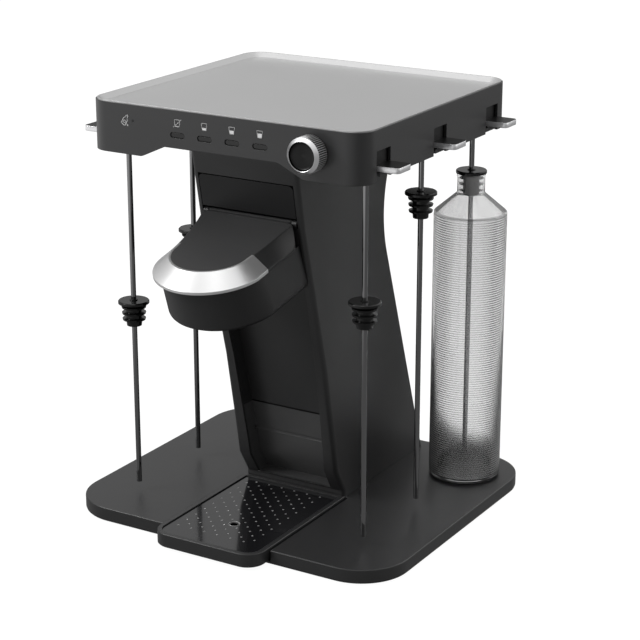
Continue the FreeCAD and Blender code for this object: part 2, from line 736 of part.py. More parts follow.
# ---------------------------------------------------------------- pumps and boards
def hose(name, route, radius, bend):
    """Round hose along straight runs joined by tangent arcs; route is a list of points."""
    points = [Vector(*spot) for spot in route]
    edges, start = [], points[0]
    for before, corner, after in zip(points, points[1:], points[2:]):
        into = (corner - before).normalize()
        out = (after - corner).normalize()
        turn = into.getAngle(out)
        setback = bend * math.tan(turn / 2)
        first, last = corner - into * setback, corner + out * setback
        inward = (out - into).normalize()
        centre = corner + inward * (bend / math.cos(turn / 2))
        middle = centre - inward * bend
        edges += [Part.LineSegment(start, first).toShape(), Part.Arc(first, middle, last).toShape()]
        start = last
    edges.append(Part.LineSegment(start, points[-1]).toShape())
    section = Part.Wire(Part.Circle(points[0], points[1] - points[0], radius).toShape())
    solid = doc.addObject("Part::Feature", name)
    solid.Shape = Part.Wire(edges).makePipeShell([section], True, False)
    return solid


def make_column_internals():
    """Power supply, pump and main board inside the column."""
    case = box("supply_case", -44, 44, 34, 118, 19.6, 62)
    slots = [box(f"supply_slot_{number}", -30 + 12 * number, -24 + 12 * number, 40, 112, 58, 63)
             for number in range(5)]
    keep("power_supply", without("power_supply", case, slots))
    can = rod("motor_can", 21, 56, (-50, 62, 124), "X")
    cap = rod("motor_cap", 9, 4, (-54, 62, 124), "X")
    keep("pump_motor", joined("pump_motor", [can, cap]))
    block = box("pump_block", 6, 46, 40, 84, 102, 146)
    ports = [rod(f"pump_port_{number}", 3, 8, (across, 62, 146), "Z")
             for number, across in enumerate((16, 36))]
    keep("pump_head", joined("pump_head", [block] + ports))
    board = box("board_sheet", -50, 50, 30, 31.6, 176, 262)
    parts = [box("relay_1", -40, -24, 31.6, 45, 190, 210), box("relay_2", -18, -2, 31.6, 45, 190, 210),
             box("plug_row", 8, 42, 31.6, 40, 184, 194), box("driver_chip", -10, 14, 31.6, 34, 226, 242)]
    keep("main_board", joined("main_board", [board] + parts))
    intake = hose("intake_hose", [(16, 62, 154.2), (16, 62, 200), (16, 52, 240), (16, 52, 400),
                                  (16, 66, 439.4)], 3.0, 14)
    outlet = hose("outlet_hose", [(36, 62, 154.2), (36, 62, 280), (36, 12, 308), (20, -60, 306)],
                  3.0, 14)
    keep("pump_hoses", group("pump_hoses", [intake, outlet]))


# ---------------------------------------------------------------- head
def lever_row(row_number):
    """Formula for the front to back place of a lever row."""
    return f"({row_number} * lever_pitch + lever_shift)"


def head_plan(inset):
    """The head's plan outline, drawn in by an inset."""
    return rectangle(f"-head_half + {inset}", f"head_half - {inset}", f"head_front + {inset}",
                     f"head_back - {inset}", f"head_corner - {inset}")


def make_head_shell():
    """Open-bottomed head moulding with a deck, an arched front and a notch for each lever."""
    body = new_body("head_shell")
    pad(body, outline(body, "head_plan", "XY", head_plan("0"), "cheek_low"),
        "head_top - cheek_low")
    pocket(body, outline(body, "head_hollow", "XY", head_plan("wall"), "cheek_low"),
           "deck_low - cheek_low", flip=True)
    pocket(body, outline(body, "tray_recess", "XY", head_plan("1.2"), "head_top"),
           "head_top - top_tray_low")
    arch = [("-arch_outer", "cheek_low - 1"), ("arch_outer", "cheek_low - 1"),
            ("arch_outer", "cheek_low"), ("arch_inner", "arch_high"), ("-arch_inner", "arch_high"),
            ("-arch_outer", "cheek_low")]
    pocket(body, outline(body, "front_arch", "XZ", arch, "200"), "200 - 145")
    inner, outer = value("arch_inner"), value("arch_outer")

    def arch_bend(edge):
        """Whether an edge runs front to back at a bend of the arch."""
        limits = edge.BoundBox
        across = abs(limits.XMin)
        return (limits.XLength < 0.05 and limits.ZLength < 0.05
                and ((near(across, inner) and near(limits.ZMin, value("arch_high")))
                     or (near(across, outer) and near(limits.ZMin, value("cheek_low")))))
    soften(body, arch_bend, "9")
    skirt = rectangle("cheek_back", "head_back + 5", "cheek_low - 1", "skirt_low")
    pocket(body, outline(body, "skirt_trim", "YZ", skirt), "4 * head_half", both=True)
    for row_name, row_number in ROWS.items():
        middle = lever_row(row_number)
        notch = rectangle(f"{middle} - notch_half", f"{middle} + notch_half", "400", "notch_high")
        pocket(body, outline(body, f"notch_{row_name}", "YZ", notch), "4 * head_half", both=True)
    for number in range(4):
        middle = f"(button_first_x + {number} * button_pitch)"
        half, radius = "(button_half + 0.4)", "(button_radius + 0.4)"
        pocket(body, pill(body, f"button_hole_{number + 1}", middle, half, radius, "200"),
               "200 - 145")
    rounds = [("mix_x", "mix_z", "8"), ("lamp_x", "lamp_z", "1.6")]
    pocket(body, circles(body, "round_holes", "XZ", rounds, "200"), "200 - 145")
    return keep("head_shell", body)


def pill(owner, name, middle, half, radius, lift):
    """Sketch of a slot with round ends, lying level on the front."""
    low, high = f"button_z - {radius}", f"button_z + {radius}"
    left, right = f"{middle} - {half} + {radius}", f"{middle} + {half} - {radius}"
    corners = [(left, low), (right, low, (f"{middle} + {half}", "button_z"), right, "DistanceX"),
               (right, high), (left, high, (f"{middle} - {half}", "button_z"), left, "DistanceX")]
    return outline(owner, name, "XZ", corners, lift)


def make_head_underside():
    """Bottom plate of the head with six lever bays, lever lugs and hose holes."""
    body = new_body("head_underside")
    pad(body, outline(body, "plate_plan", "XY", head_plan("(wall + 0.3)"), "under_low"),
        "under_high - under_low")
    for name, sign, row_number in bays():
        row = lever_row(row_number)
        bay = rectangle(f"{sign} * 151.5 - 20.5", f"{sign} * 151.5 + 20.5",
                        f"{row} - 15.5", f"{row} + 15.5")
        pocket(body, outline(body, f"bay_{name}", "XY", bay, "under_high"),
               "under_high - under_low")
        for end, offset in (("a", "-17.4"), ("b", "14.2")):
            lug = rectangle(f"{sign} * lever_axle_x - 4.2", f"{sign} * lever_axle_x + 4.2",
                            f"{row} + {offset}", f"{row} + {offset} + 3.2")
            pad(body, outline(body, f"lug_{name}_{end}", "XY", lug, "under_high - 0.5"),
                "lever_axle_z + 4.7 - under_high")
    for side, sign in SIDES.items():
        bore = circles(body, f"axle_bores_{side}", "XZ",
                       [(f"{sign} * lever_axle_x", "lever_axle_z", "1.58")])
        pocket(body, bore, "400", both=True)
    holes = [(f"{sign} * 128", f"{lever_row(row_number)} + 20.5", "3.4")
             for name, sign, row_number in bays()]
    pocket(body, circles(body, "hose_holes", "XY", holes, "under_high"), "under_high - under_low")
    shaft = rectangle("-46", "46", "-60", "78")
    pocket(body, outline(body, "wiring_opening", "XY", shaft, "under_high"),
           "under_high - under_low")
    return keep("head_underside", body)


def make_top_tray():
    """Silver tray in the head's top: a flat floor inside a sloped rim."""
    body = new_body("top_tray")
    pad(body, outline(body, "top_plan", "XY", head_plan("1.5"), "top_tray_low"),
        "top_tray_high - top_tray_low")
    slope = 42
    pocket(body, outline(body, "top_recess", "XY", head_plan("(1.5 + top_rim)"), "top_tray_high"),
           "top_tray_high - top_tray_floor", taper=-slope)
    return keep("top_tray", body)


def make_strength_buttons():
    """Four pill buttons with a flange and a stem behind the panel."""
    for number in range(4):
        body = new_body(f"strength_button_{number + 1}")
        middle = f"(button_first_x + {number} * button_pitch)"
        pad(body, pill(body, "button_face", middle, "button_half", "button_radius",
                       "-head_front - 0.9"), "5", flip=True)
        pad(body, pill(body, "button_flange", middle, "(button_half + 1.6)", "(button_radius + 1.6)",
                       "-head_front - wall - 0.3"), "1.6", flip=True)
        stem = circles(body, "button_stem", "XZ", [(middle, "button_z", "1.6")],
                       "-head_front - wall - 0.4")
        pad(body, stem, "5.6", flip=True)
        keep(f"strength_button_{number + 1}", body)


def make_mix_button():
    """Bevelled ring and the round button that sits in it."""
    ring = new_body("mix_bezel")
    shoulder = "(head_front - mix_proud + 8.6)"
    profile = [("head_front", "mix_face + 2"), ("head_front", "mix_radius"),
               ("head_front - mix_proud + 3.2", "mix_radius"),
               ("head_front - mix_proud + 0.4", "mix_face + 0.6"),
               ("head_front - mix_proud", "mix_face + 0.1"),
               ("head_front - mix_proud + 0.5", "mix_face - 0.2"),
               (shoulder, "mix_face - 0.2"), (shoulder, "mix_face + 2")]
    spin(ring, outline(ring, "ring_side", "YZ", profile), "H_Axis")
    keep("mix_bezel", ring, Vector(value("mix_x"), 0, value("mix_z")))
    button = new_body("mix_button")
    face = "head_front - mix_proud + 2.6"
    profile = [(f"{face} + 1.4", "0"), (face, "mix_face - 2.4"), (f"{face} - 0.6", "mix_face - 1.4"),
               (f"{face} + 0.4", "mix_face - 0.5"), (f"{shoulder} + 0.3", "mix_face - 0.5"),
               (f"{shoulder} + 0.3", "mix_face + 1.7"), (f"{shoulder} + 2.2", "mix_face + 1.7"),
               (f"{shoulder} + 2.2", "7.5"), ("head_front + wall + 5.4", "7.5"),
               ("head_front + wall + 5.4", "0")]
    spin(button, outline(button, "button_side", "YZ", profile), "H_Axis")
    keep("mix_button", button, Vector(value("mix_x"), 0, value("mix_z")))


def make_control_board():
    """Board behind the front panel with a switch for each button, and the cleaning lamp."""
    sheet_front = "head_front + wall + 8.9"
    board = box("control_sheet", -124, 132, sheet_front, sheet_front + " + 1.6", 444.5, 468)
    switches = [box(f"switch_{number + 1}", f"button_first_x + {number} * button_pitch - 3",
                    f"button_first_x + {number} * button_pitch + 3", sheet_front + " - 1.3",
                    sheet_front, "button_z - 3", "button_z + 3") for number in range(4)]
    switches.append(box("mix_switch", "mix_x - 4", "mix_x + 4", sheet_front + " - 1.2", sheet_front,
                        "mix_z - 4", "mix_z + 4"))
    keep("control_board", joined("control_board", [board] + switches))
    lens = rod("lamp_lens", "1.5", "6", ("lamp_x", "head_front + 0.2", "lamp_z"), "Y")
    keep("cleaning_lamp", group("cleaning_lamp", [lens]))


def make_valve_manifold():
    """Manifold over the column, its six valves and the hoses from the tube rails."""
    ports_at = [46, 72, 98]
    block = box("manifold_block", -56, 56, 34, 110, "under_high + 0.2", 462)
    barbs = [rod(f"manifold_barb_{side}_{number}", 2.2, 6,
                 (-62 if sign < 0 else 56, along, 456), "X")
             for side, sign in SIDES.items() for number, along in enumerate(ports_at)]
    keep("valve_manifold", joined("valve_manifold", [block] + barbs))
    valves = [rod(f"valve_{number + 1}", 7.5, 26, (-45 + 18 * number, 110.2, 452), "Y")
              for number in range(6)]
    keep("solenoid_valves", group("solenoid_valves", valves))
    hoses = []
    for name, sign, row_number in bays():
        start_y = value(f"{lever_row(row_number)} + 20.5")
        port_y = ports_at[row_number + 1]
        route = [(sign * 128, start_y, 447.8), (sign * 128, start_y, 457),
                 (sign * 80, port_y, 456), (sign * 62.4, port_y, 456)]
        hoses.append(hose(f"hose_{name}", route, 2.2, 5))
    keep("liquor_hoses", group("liquor_hoses", hoses))


def make_tube_rails():
    """Rails under the head: each bay has a channel and a slot for a tube's head."""
    for side, sign in SIDES.items():
        def across(low, high, sign=sign):
            """The two X faces of a block, given outward from the middle."""
            return (f"{sign} * {low}", f"{sign} * {high}") if sign > 0 else \
                (f"{sign} * {high}", f"{sign} * {low}")
        bar = box(f"rail_bar_{side}", *across(121, 163), -147, 147, "rail_low", "under_low")
        tools, barbs = [], []
        for row_name, row_number in ROWS.items():
            row, tube = lever_row(row_number), f"({row_number} * bay_pitch)"
            tools.append(box(f"channel_{side}_{row_name}", *across(139, 170), f"{tube} - 9",
                             f"{tube} + 9", "rail_floor", "under_low + 1"))
            tools.append(box(f"slot_{side}_{row_name}", *across(148.5, 170), f"{tube} - 3.8",
                             f"{tube} + 3.8", "rail_low - 1", "rail_floor + 1"))
            tools.append(rod(f"slot_end_{side}_{row_name}", 3.8, 10,
                             (f"{sign} * bay_across", tube, "rail_low - 1")))
            barbs.append(rod(f"rail_barb_{side}_{row_name}", 2.9, "447.6 - rail_floor",
                             (f"{sign} * 128", f"{row} + 20.5", "rail_floor")))
        for number, middle in enumerate((-62, 62)):
            tools.append(box(f"relief_{side}_{number}", *across(126, 164), middle - 34, middle + 34,
                             "rail_low - 1", "under_low - wall"))
        bar = without(f"rail_cut_{side}", bar, tools)
        keep(f"tube_rail_{side}", joined(f"tube_rail_{side}", [bar] + barbs))


# ---------------------------------------------------------------- levers, tubes, stoppers
def make_levers():
    """Six rocking levers: a flat tongue outside the head, a shutter in the notch, an axle inside."""
    for name, sign, row_number in bays():
        body = new_body(f"bottle_lever_{name}")
        row = lever_row(row_number)
        side = [("lever_axle_x", "lever_axle_z - 2.6"), ("132.5", "lever_axle_z - 2.6"),
                ("132.5", "lever_low"), ("lever_reach", "lever_low"), ("lever_reach", "lever_high"),
                ("167.4", "lever_high"), ("167.4", "456"), ("164.4", "456"),
                ("164.4", "lever_high"), ("139", "lever_high"), ("139", "lever_axle_z + 2.2"),
                ("lever_axle_x", "lever_axle_z + 2.2")]
        side = [(f"{sign} * ({x})", z) for x, z in side]
        pad(body, outline(body, "lever_side", "XZ", side, f"-{row}"), "2 * lever_half", both=True)
        tip = value("lever_reach") * sign
        spots = [(tip, value(f"{row} - lever_half")), (tip, value(f"{row} + lever_half"))]
        soften(body, upright_at(spots), "4.5")
        barrel = circles(body, "barrel", "XZ",
                         [(f"{sign} * lever_axle_x", "lever_axle_z", "3.6")], f"-{row}")
        pad(body, barrel, "2 * lever_half", both=True)
        axle = circles(body, "axle", "XZ",
                       [(f"{sign} * lever_axle_x", "lever_axle_z", "1.5")], f"-{row}")
        pad(body, axle, "2 * lever_half + 7", both=True)
        keep(f"bottle_lever_{name}", body)


def make_tubes():
    """Six bottle tubes, each with the flanged head that hangs in its rail."""
    for name, sign, row_number in bays():
        body = new_body(f"bottle_tube_{name}")
        profile = [("tube_bore", "tube_low"), ("tube_radius", "tube_low"),
                   ("tube_radius", "rail_floor + 0.1"), ("8", "rail_floor + 0.1"),
                   ("8", "rail_floor + 4"), ("5", "rail_floor + 4"), ("5", "lever_low - 0.5"),
                   ("tube_bore", "lever_low - 0.5")]
        spin(body, outline(body, "tube_side", "XZ", profile), "V_Axis")
        keep(f"bottle_tube_{name}", body,
             Vector(sign * value("bay_across"), row_number * value("bay_pitch"), 0))


def make_stoppers():
    """Six rubber stoppers: a flange over a plug with three sealing fins."""
    for name, sign, row_number in bays():
        body = new_body(f"stopper_{name}")
        bore = "(tube_radius + 0.08)"
        profile = [(bore, "0"), ("4.6", "0"), ("4.6", "-1"), ("disc_radius - 1", "-1"),
                   ("disc_radius", "-2"), ("disc_radius", "-disc_thick - 1"),
                   ("9.4", "-disc_thick - 1")]
        for number in range(3):
            top = f"(-disc_thick - 4.5 - {number} * 7)"
            fin = f"fin_radius - {number} * 0.4"
            profile += [("9", f"{top} + 0.6"), (fin, top), (f"{fin} - 0.5", f"{top} - 1.9"),
                        ("9", f"{top} - 2.6")]
        profile += [("8.4", "-disc_thick - 27"), (bore, "-disc_thick - 27")]
        spin(body, outline(body, "stopper_side", "XZ", profile), "V_Axis")
        keep(f"stopper_{name}", body,
             Vector(sign * value("bay_across"), row_number * value("bay_pitch"),
                    STOPPER_TOPS[name] + 1))


def make_carafe():
    """Clear water carafe that stands in the right rear seat round its tube."""
    body = new_body("water_carafe")
    foot = "(base_top + 0.1)"
    skin = 2.4
    profile = [("0", foot), ("carafe_radius - 3", foot), ("carafe_radius", f"{foot} + 3"),
               ("carafe_radius", "carafe_shoulder"), ("neck_radius", "carafe_neck"),
               ("neck_radius", "carafe_top - 4"), ("neck_radius + 0.7", "carafe_top - 3.4"),
               ("neck_radius + 0.7", "carafe_top - 0.2"), ("neck_bore", "carafe_top - 0.2"),
               ("neck_bore", f"carafe_neck - {skin} / 2"),
               (f"carafe_radius - {skin}", f"carafe_shoulder - {skin} / 2"),
               (f"carafe_radius - {skin}", f"{foot} + 5"), (f"carafe_radius - {skin} - 2", f"{foot} + 3.4"),
               ("0", f"{foot} + 3.4")]
    spin(body, outline(body, "carafe_side", "XZ", profile), "V_Axis")
    return keep("water_carafe", body, Vector(value("bay_across"), value("bay_pitch"), 0))


# ---------------------------------------------------------------- pod chamber and lid
def round_front(radius, centre, back_half, back):
    """Plan of a shape with a half-round front and straight sides."""
    return [(f"-({radius})", centre, ("0", f"{centre} - ({radius})"), centre), (radius, centre),
            (back_half, back), (f"-({back_half})", back)]


def make_pod_chamber():
    """Leaning chamber with a round front, its neck and the two ears of the lid hinge."""
    body = new_body("pod_chamber")
    levels = []
    steps = ((0, 6), (0.6, 4.1), (1.8, 2.3), (3.6, 0.9), (5.6, 0.2), (7.6, 0))
    for number, (rise, inset) in enumerate(steps, start=1):
        radius = f"pod_low_radius - {inset}"
        levels.append(outline(body, f"chamber_level_{number}", "XY",
                              round_front(radius, "pod_low_centre", radius,
                                          f"pod_back_low - {inset}"), f"pod_low + {rise}"))
    high = outline(body, "chamber_rim", "XY",
                   round_front("pod_high_radius", "pod_high_centre", "pod_high_radius",
                               "pod_back_high"),
                   "pod_high")
    block = body.newObject("PartDesign::AdditiveLoft", "chamber_block")
    block.Profile = levels[0]
    block.Sections = levels[1:] + [high]
    block.Ruled = True
    doc.recompute()
    inner_low = outline(body, "hollow_floor", "XY",
                        round_front("pod_low_radius - wall", "pod_low_centre",
                                    "pod_low_radius - wall", "pod_back_low - wall"),
                        "pod_low + wall")
    inner_high = outline(body, "hollow_roof", "XY",
                         round_front("pod_high_radius - wall", "pod_high_centre", "pod_high_radius - wall",
                                     "pod_back_high - wall"), "pod_high - wall")
    hollow = body.newObject("PartDesign::SubtractiveLoft", "chamber_hollow")
    hollow.Profile = inner_low
    hollow.Sections = [inner_high]
    hollow.Ruled = True
    doc.recompute()
    pocket(body, circles(body, "cup_opening", "XY", [("0", "cup_centre", "cup_radius + 0.2")],
                         "pod_high"), "wall + 1")
    pocket(body, circles(body, "nozzle_opening", "XY", [("0", "cup_centre", "9.2")],
                         "pod_low - 1"), "wall + 2", flip=True)
    neck = rectangle("-56", "56", "pod_back_high - 2", "pod_back_low + 16")
    pad(body, outline(body, "neck", "XY", neck, "pod_low + 9"), "pod_high - pod_low - 11")
    ear_side = [("axle_v - 1.8", "pod_high - 6"), ("axle_v + 5", "pod_high - 6"),
                ("axle_v + 4.4", "axle_w", ("axle_v", "axle_w + 4.4"), "axle_w"),
                ("axle_v - 4.4", "axle_w", ("axle_v - 4.4 * 0.8", "axle_w - 4.4 * 0.6"), "axle_w"),
                ("axle_v - 1.8", "axle_w - sqrt(4.4 ^ 2 - 1.8 ^ 2)")]
    for side, sign in SIDES.items():
        ear = outline(body, f"ear_{side}", "YZ", ear_side, f"{sign} * 55.9")
        pad(body, ear, "6", both=True)
    pocket(body, circles(body, "axle_hole", "YZ", [("axle_v", "axle_w", "2.02")]), "140", both=True)
    return keep("pod_chamber", body, leaning=True)


def make_capsule_cup():
    """Cup that holds the drink capsule, and the nozzle under it."""
    cup = new_body("capsule_cup")
    rim, floor, skin = "pod_high - 0.1", "pod_low + wall + 5", 1.8
    profile = [("cup_radius - 5", floor), ("cup_radius", f"{rim} - 3"), ("cup_radius", rim),
               (f"cup_radius - {skin}", rim), (f"cup_radius - 5 - {skin}", f"{floor} + {skin}"),
               ("5", f"{floor} + {skin}"), ("5", floor)]
    spin(cup, outline(cup, "cup_side", "XZ", profile), "V_Axis")
    keep("capsule_cup", cup, leaning=True)
    nozzle = new_body("nozzle")
    profile = [("3", "pod_low - 12"), ("5.4", "pod_low - 12"), ("7.4", "pod_low - 2"),
               ("9", "pod_low + 0.4"), ("9", "pod_low + wall + 1"), ("6", "pod_low + wall + 4.9"),
               ("3", "pod_low + wall + 4.9")]
    spin(nozzle, outline(nozzle, "nozzle_side", "XZ", profile), "V_Axis")
    keep("nozzle", nozzle, leaning=True)
    for solid in (cup, nozzle):
        solid.Placement = solid.Placement.multiply(
            Placement(Vector(0, value("cup_centre"), 0), Rotation()))


def lid_loft(name, inset, low):
    """The lid's tapering form, drawn in by an inset, from a height up to its crown section."""
    foot = outline(doc, f"{name}_foot", "XY",
                   round_front(f"lid_radius - {inset}", "0", f"lid_radius - 1 - {inset}", "lid_back"),
                   low)
    crown = outline(doc, f"{name}_crown", "XY",
                    round_front(f"lid_crown - {inset}", "4", f"lid_crown_half - {inset}",
                                "lid_back"), "lid_crown_w")
    return loft(name, [foot, crown])


def lid_corners(name, inset):
    """Upright block that rounds the two back corners of the lid."""
    plan = rectangle(f"-(lid_radius - 1 - {inset})", f"lid_radius - 1 - {inset}", "-90",
                     f"lid_back - {inset}", f"lid_back_corner - {inset}",
                     (False, False, True, True))
    return prism(name, outline(doc, f"{name}_outline", "XY", plan), "200")


def make_lid():
    """Hinged lid: a tapering round-fronted form, dished on top, with a silver trim in front."""
    cone = lid_loft("lid_cone", "0", "0")
    rim = prism("lid_rim_block",
                outline(doc, "lid_rim_plan", "XY",
                        round_front("lid_radius", "0", "lid_radius - 1", "lid_back"), "-lid_rim"),
                "lid_rim", both=False)
    form = joined("lid_form", [cone, rim])
    dish_start, rise = "-12", "(lid_back_thick - lid_thick)"
    dish = f"(((lid_back - ({dish_start})) ^ 2 + {rise} ^ 2) / (2 * {rise}))"
    middle_v = "30"
    middle_w = f"lid_thick + {dish} - sqrt({dish} ^ 2 - ({middle_v} - ({dish_start})) ^ 2)"
    side = [("-80", "-lid_rim - 1"), ("lid_back + 1", "-lid_rim - 1"),
            ("lid_back + 1", "lid_back_thick"), ("lid_back", "lid_back_thick",
                                                 (middle_v, middle_w), f"lid_thick + {dish}"),
            (dish_start, "lid_thick"), ("-80", "lid_thick")]
    envelope = prism("lid_envelope", outline(doc, "lid_side", "YZ", side), "200")
    whole = overlap("lid_whole", [form, envelope, lid_corners("lid_plan", "0")])
    core_cone = lid_loft("lid_core_cone", "trim_thick", "0")
    core_rim = prism("lid_core_rim",
                     outline(doc, "core_rim_plan", "XY",
                             round_front("lid_radius - trim_thick", "0",
                                         "lid_radius - 1 - trim_thick", "lid_back"),
                             "-lid_rim - 1"), "lid_rim + 1", both=False)
    core = joined("lid_core", [core_cone, core_rim])
    front_zone = box("trim_zone", -100, 100, -100, "trim_back", "-lid_rim - 1", 40)
    rear_zone = box("flank_zone", -100, 100, "trim_back", 100, "-lid_rim - 1", 40)
    front = overlap("lid_front", [whole, front_zone])
    keep("lid_trim", without("lid_trim", front, [core]), leaning=True)
    inset = "(trim_thick + wall)"
    space_cone = lid_loft("lid_space_cone", inset, "0")
    space_rim = prism("lid_space_rim",
                      outline(doc, "space_rim_plan", "XY",
                              round_front(f"lid_radius - {inset}", "0",
                                          f"lid_radius - 1 - {inset}", "lid_back"),
                              "-lid_rim - 1"), "lid_rim + 1", both=False)
    space_side = [("-80", "-lid_rim - 1"), ("lid_back - wall", "-lid_rim - 1"),
                  ("lid_back - wall", "lid_back_thick - 2.2 * wall"),
                  (middle_v, f"{middle_w} - wall"), (dish_start, "lid_thick - wall"),
                  ("-80", "lid_thick - wall")]
    space_zone = prism("lid_space_zone", outline(doc, "space_side", "YZ", space_side), "200")
    space = overlap("lid_space", [joined("lid_space_form", [space_cone, space_rim]), space_zone,
                                  lid_corners("lid_space_plan", "wall")])
    dark = joined("lid_dark", [overlap("lid_middle", [front, core]),
                               overlap("lid_flanks", [whole, rear_zone])])
    web = box("lid_web", -51, 51, "lid_back - 2.9", "axle_v", "axle_w - 4", "axle_w + 3")
    barrel = rod("lid_barrel", 4.2, 104, (-52, "axle_v", "axle_w"), "X")
    bore = rod("lid_bore", 2.06, 120, (-60, "axle_v", "axle_w"), "X")
    solid = joined("lid_joined", [without("lid_casing", dark, [space]), web, barrel])
    keep("pod_lid", without("pod_lid", solid, [bore]), leaning=True)
    flat = prism("needle_plate_flat",
                 outline(doc, "needle_plate_plan", "XY",
                         round_front(f"lid_radius - {inset} - 0.3", "0",
                                     f"lid_radius - 1.3 - {inset}", "lid_back - wall - 0.3"),
                         "-lid_rim + 0.2"), "2.4", both=False)
    plate = overlap("needle_plate", [flat, lid_corners("needle_plate_corners", "(wall + 0.3)")])
    collar = rod("needle_collar", "7", "6", ("0", "cup_centre", "-lid_rim - 3"))
    needle = doc.addObject("Part::Cone", "needle_point")
    needle.Radius1, needle.Radius2, needle.Height = 0.4, 2.2, 9
    needle.Placement.Base = Vector(0, value("cup_centre"), -value("lid_rim") - 12)
    keep("piercing_needle", joined("piercing_needle", [plate, collar, needle]), leaning=True)
    pin = rod("lid_axle", 2.0, 117.4, (-58.7, "axle_v", "axle_w"), "X")
    wrapped = group("lid_hinge_pin", [pin])
    keep("lid_hinge_pin", wrapped, leaning=True)


# ---------------------------------------------------------------- build, check, export
def check_document():
    """Stop if any object failed, any cut missed, or any sub-part is not a sound solid."""
    for item in doc.Objects:
        if "Invalid" in item.State or "Error" in item.State:
            raise RuntimeError(f"{item.Name} failed: {item.State}")
        if item.TypeId in ("PartDesign::Pocket", "PartDesign::SubtractiveLoft"):
            before = item.BaseFeature.Shape.Volume
            if before - item.Shape.Volume < 0.5 or item.Shape.Volume < 1:
                raise RuntimeError(f"{item.Name} of {item.getParent().Label} cuts nothing")
    for label, solid in pieces.items():
        if solid.Shape.isNull() or not solid.Shape.isValid() or not solid.Shape.Solids:
            raise RuntimeError(f"{label} is not a sound solid")


def export_parts():
    """Write one STEP file for each sub-part."""
    os.makedirs("parts", exist_ok=True)
    for label, solid in pieces.items():
        solid.Shape.exportStep(f"parts/{label}.step")


MAKERS = [make_base_shell, make_bottom_cover, make_feet, make_cover_screws, make_drip_tray,
          make_drip_plate, make_column_shell, make_rear_cover, make_cord_gland, make_brow_panel,
          make_cavity_panels, make_column_internals, make_head_shell, make_head_underside,
          make_top_tray, make_strength_buttons, make_mix_button, make_control_board,
          make_valve_manifold, make_tube_rails, make_levers, make_tubes, make_stoppers,
          make_carafe, make_pod_chamber, make_capsule_cup, make_lid]
for maker in MAKERS:
    maker()
doc.recompute()
check_document()
export_parts()
for label, solid in pieces.items():
    print(f"{label:28s} solids {len(solid.Shape.Solids)}  volume {solid.Shape.Volume / 1000:9.2f} cm3")
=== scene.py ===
"""Dresses the cocktail dispenser: finishes for its mouldings, and the fine pieces that show.

Everything is in metres in the frame's own axes: X to the right of someone facing the
machine, Y to the back, Z up from the worktop.
"""
import json
import math

import bmesh
import bpy
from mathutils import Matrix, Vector


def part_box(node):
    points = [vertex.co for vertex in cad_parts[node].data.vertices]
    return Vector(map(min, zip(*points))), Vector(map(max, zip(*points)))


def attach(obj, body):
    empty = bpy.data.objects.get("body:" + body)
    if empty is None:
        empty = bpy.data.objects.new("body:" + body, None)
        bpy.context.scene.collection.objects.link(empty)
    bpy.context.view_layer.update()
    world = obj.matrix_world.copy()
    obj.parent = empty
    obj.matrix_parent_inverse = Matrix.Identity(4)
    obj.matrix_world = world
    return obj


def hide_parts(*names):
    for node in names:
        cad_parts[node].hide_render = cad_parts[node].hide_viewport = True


bl_info = {
    "name": "Cocktail Dispenser Dressing",
    "version": (1, 0, 0),
    "blender": (4, 5, 0),
    "location": "View3D > Sidebar > Dispenser",
    "description": "Finishes and fine pieces for a countertop cocktail dispenser",
    "category": "Object",
}

MM = 0.001
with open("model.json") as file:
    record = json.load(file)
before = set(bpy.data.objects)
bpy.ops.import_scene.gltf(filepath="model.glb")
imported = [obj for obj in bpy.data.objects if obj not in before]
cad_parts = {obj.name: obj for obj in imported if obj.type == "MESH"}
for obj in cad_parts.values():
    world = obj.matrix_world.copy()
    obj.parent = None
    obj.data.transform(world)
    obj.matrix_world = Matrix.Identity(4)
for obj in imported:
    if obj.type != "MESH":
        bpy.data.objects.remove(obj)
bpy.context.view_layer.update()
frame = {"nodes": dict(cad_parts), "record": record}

ROWS = ("front", "middle", "rear")
SIDES = {"left": -1, "right": 1}
SHOULDER_DROP = 44.8 * MM
CARAFE_SEGMENTS = 96


def middle(name):
    """Centre of a CAD node's box."""
    low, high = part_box(name)
    return (low + high) / 2


# ------------------------------------------------------------------ settings
class DispenserSizes(bpy.types.PropertyGroup):
    """Sizes of the fine pieces."""
    knurl_count: bpy.props.IntProperty(
        name="Knurls", description="Ridges round the mix ring", default=52, min=24)
    knurl_depth: bpy.props.FloatProperty(
        name="Knurl Depth", description="Depth of each ridge", default=1.0 * MM,
        unit="LENGTH", precision=5)
    trim_thickness: bpy.props.FloatProperty(
        name="Trim Thickness", description="Bright edge round a bottle lever", default=0.8 * MM,
        unit="LENGTH", precision=5)
    lever_corner: bpy.props.FloatProperty(
        name="Lever Corner", description="Plan radius of a lever's outer corners",
        default=4.5 * MM, unit="LENGTH", precision=5)
    rib_pitch: bpy.props.FloatProperty(
        name="Rib Pitch", description="Spacing of the carafe's fine ribs", default=2.7 * MM,
        unit="LENGTH", precision=5)
    rib_depth: bpy.props.FloatProperty(
        name="Rib Depth", description="Depth of the carafe's ribs", default=0.18 * MM,
        unit="LENGTH", precision=5)
    icon_height: bpy.props.FloatProperty(
        name="Icon Height", description="Height of a tumbler icon", default=7.4 * MM,
        unit="LENGTH", precision=5)
    icon_rise: bpy.props.FloatProperty(
        name="Icon Rise", description="Icon centre above its button", default=13.0 * MM,
        unit="LENGTH", precision=5)


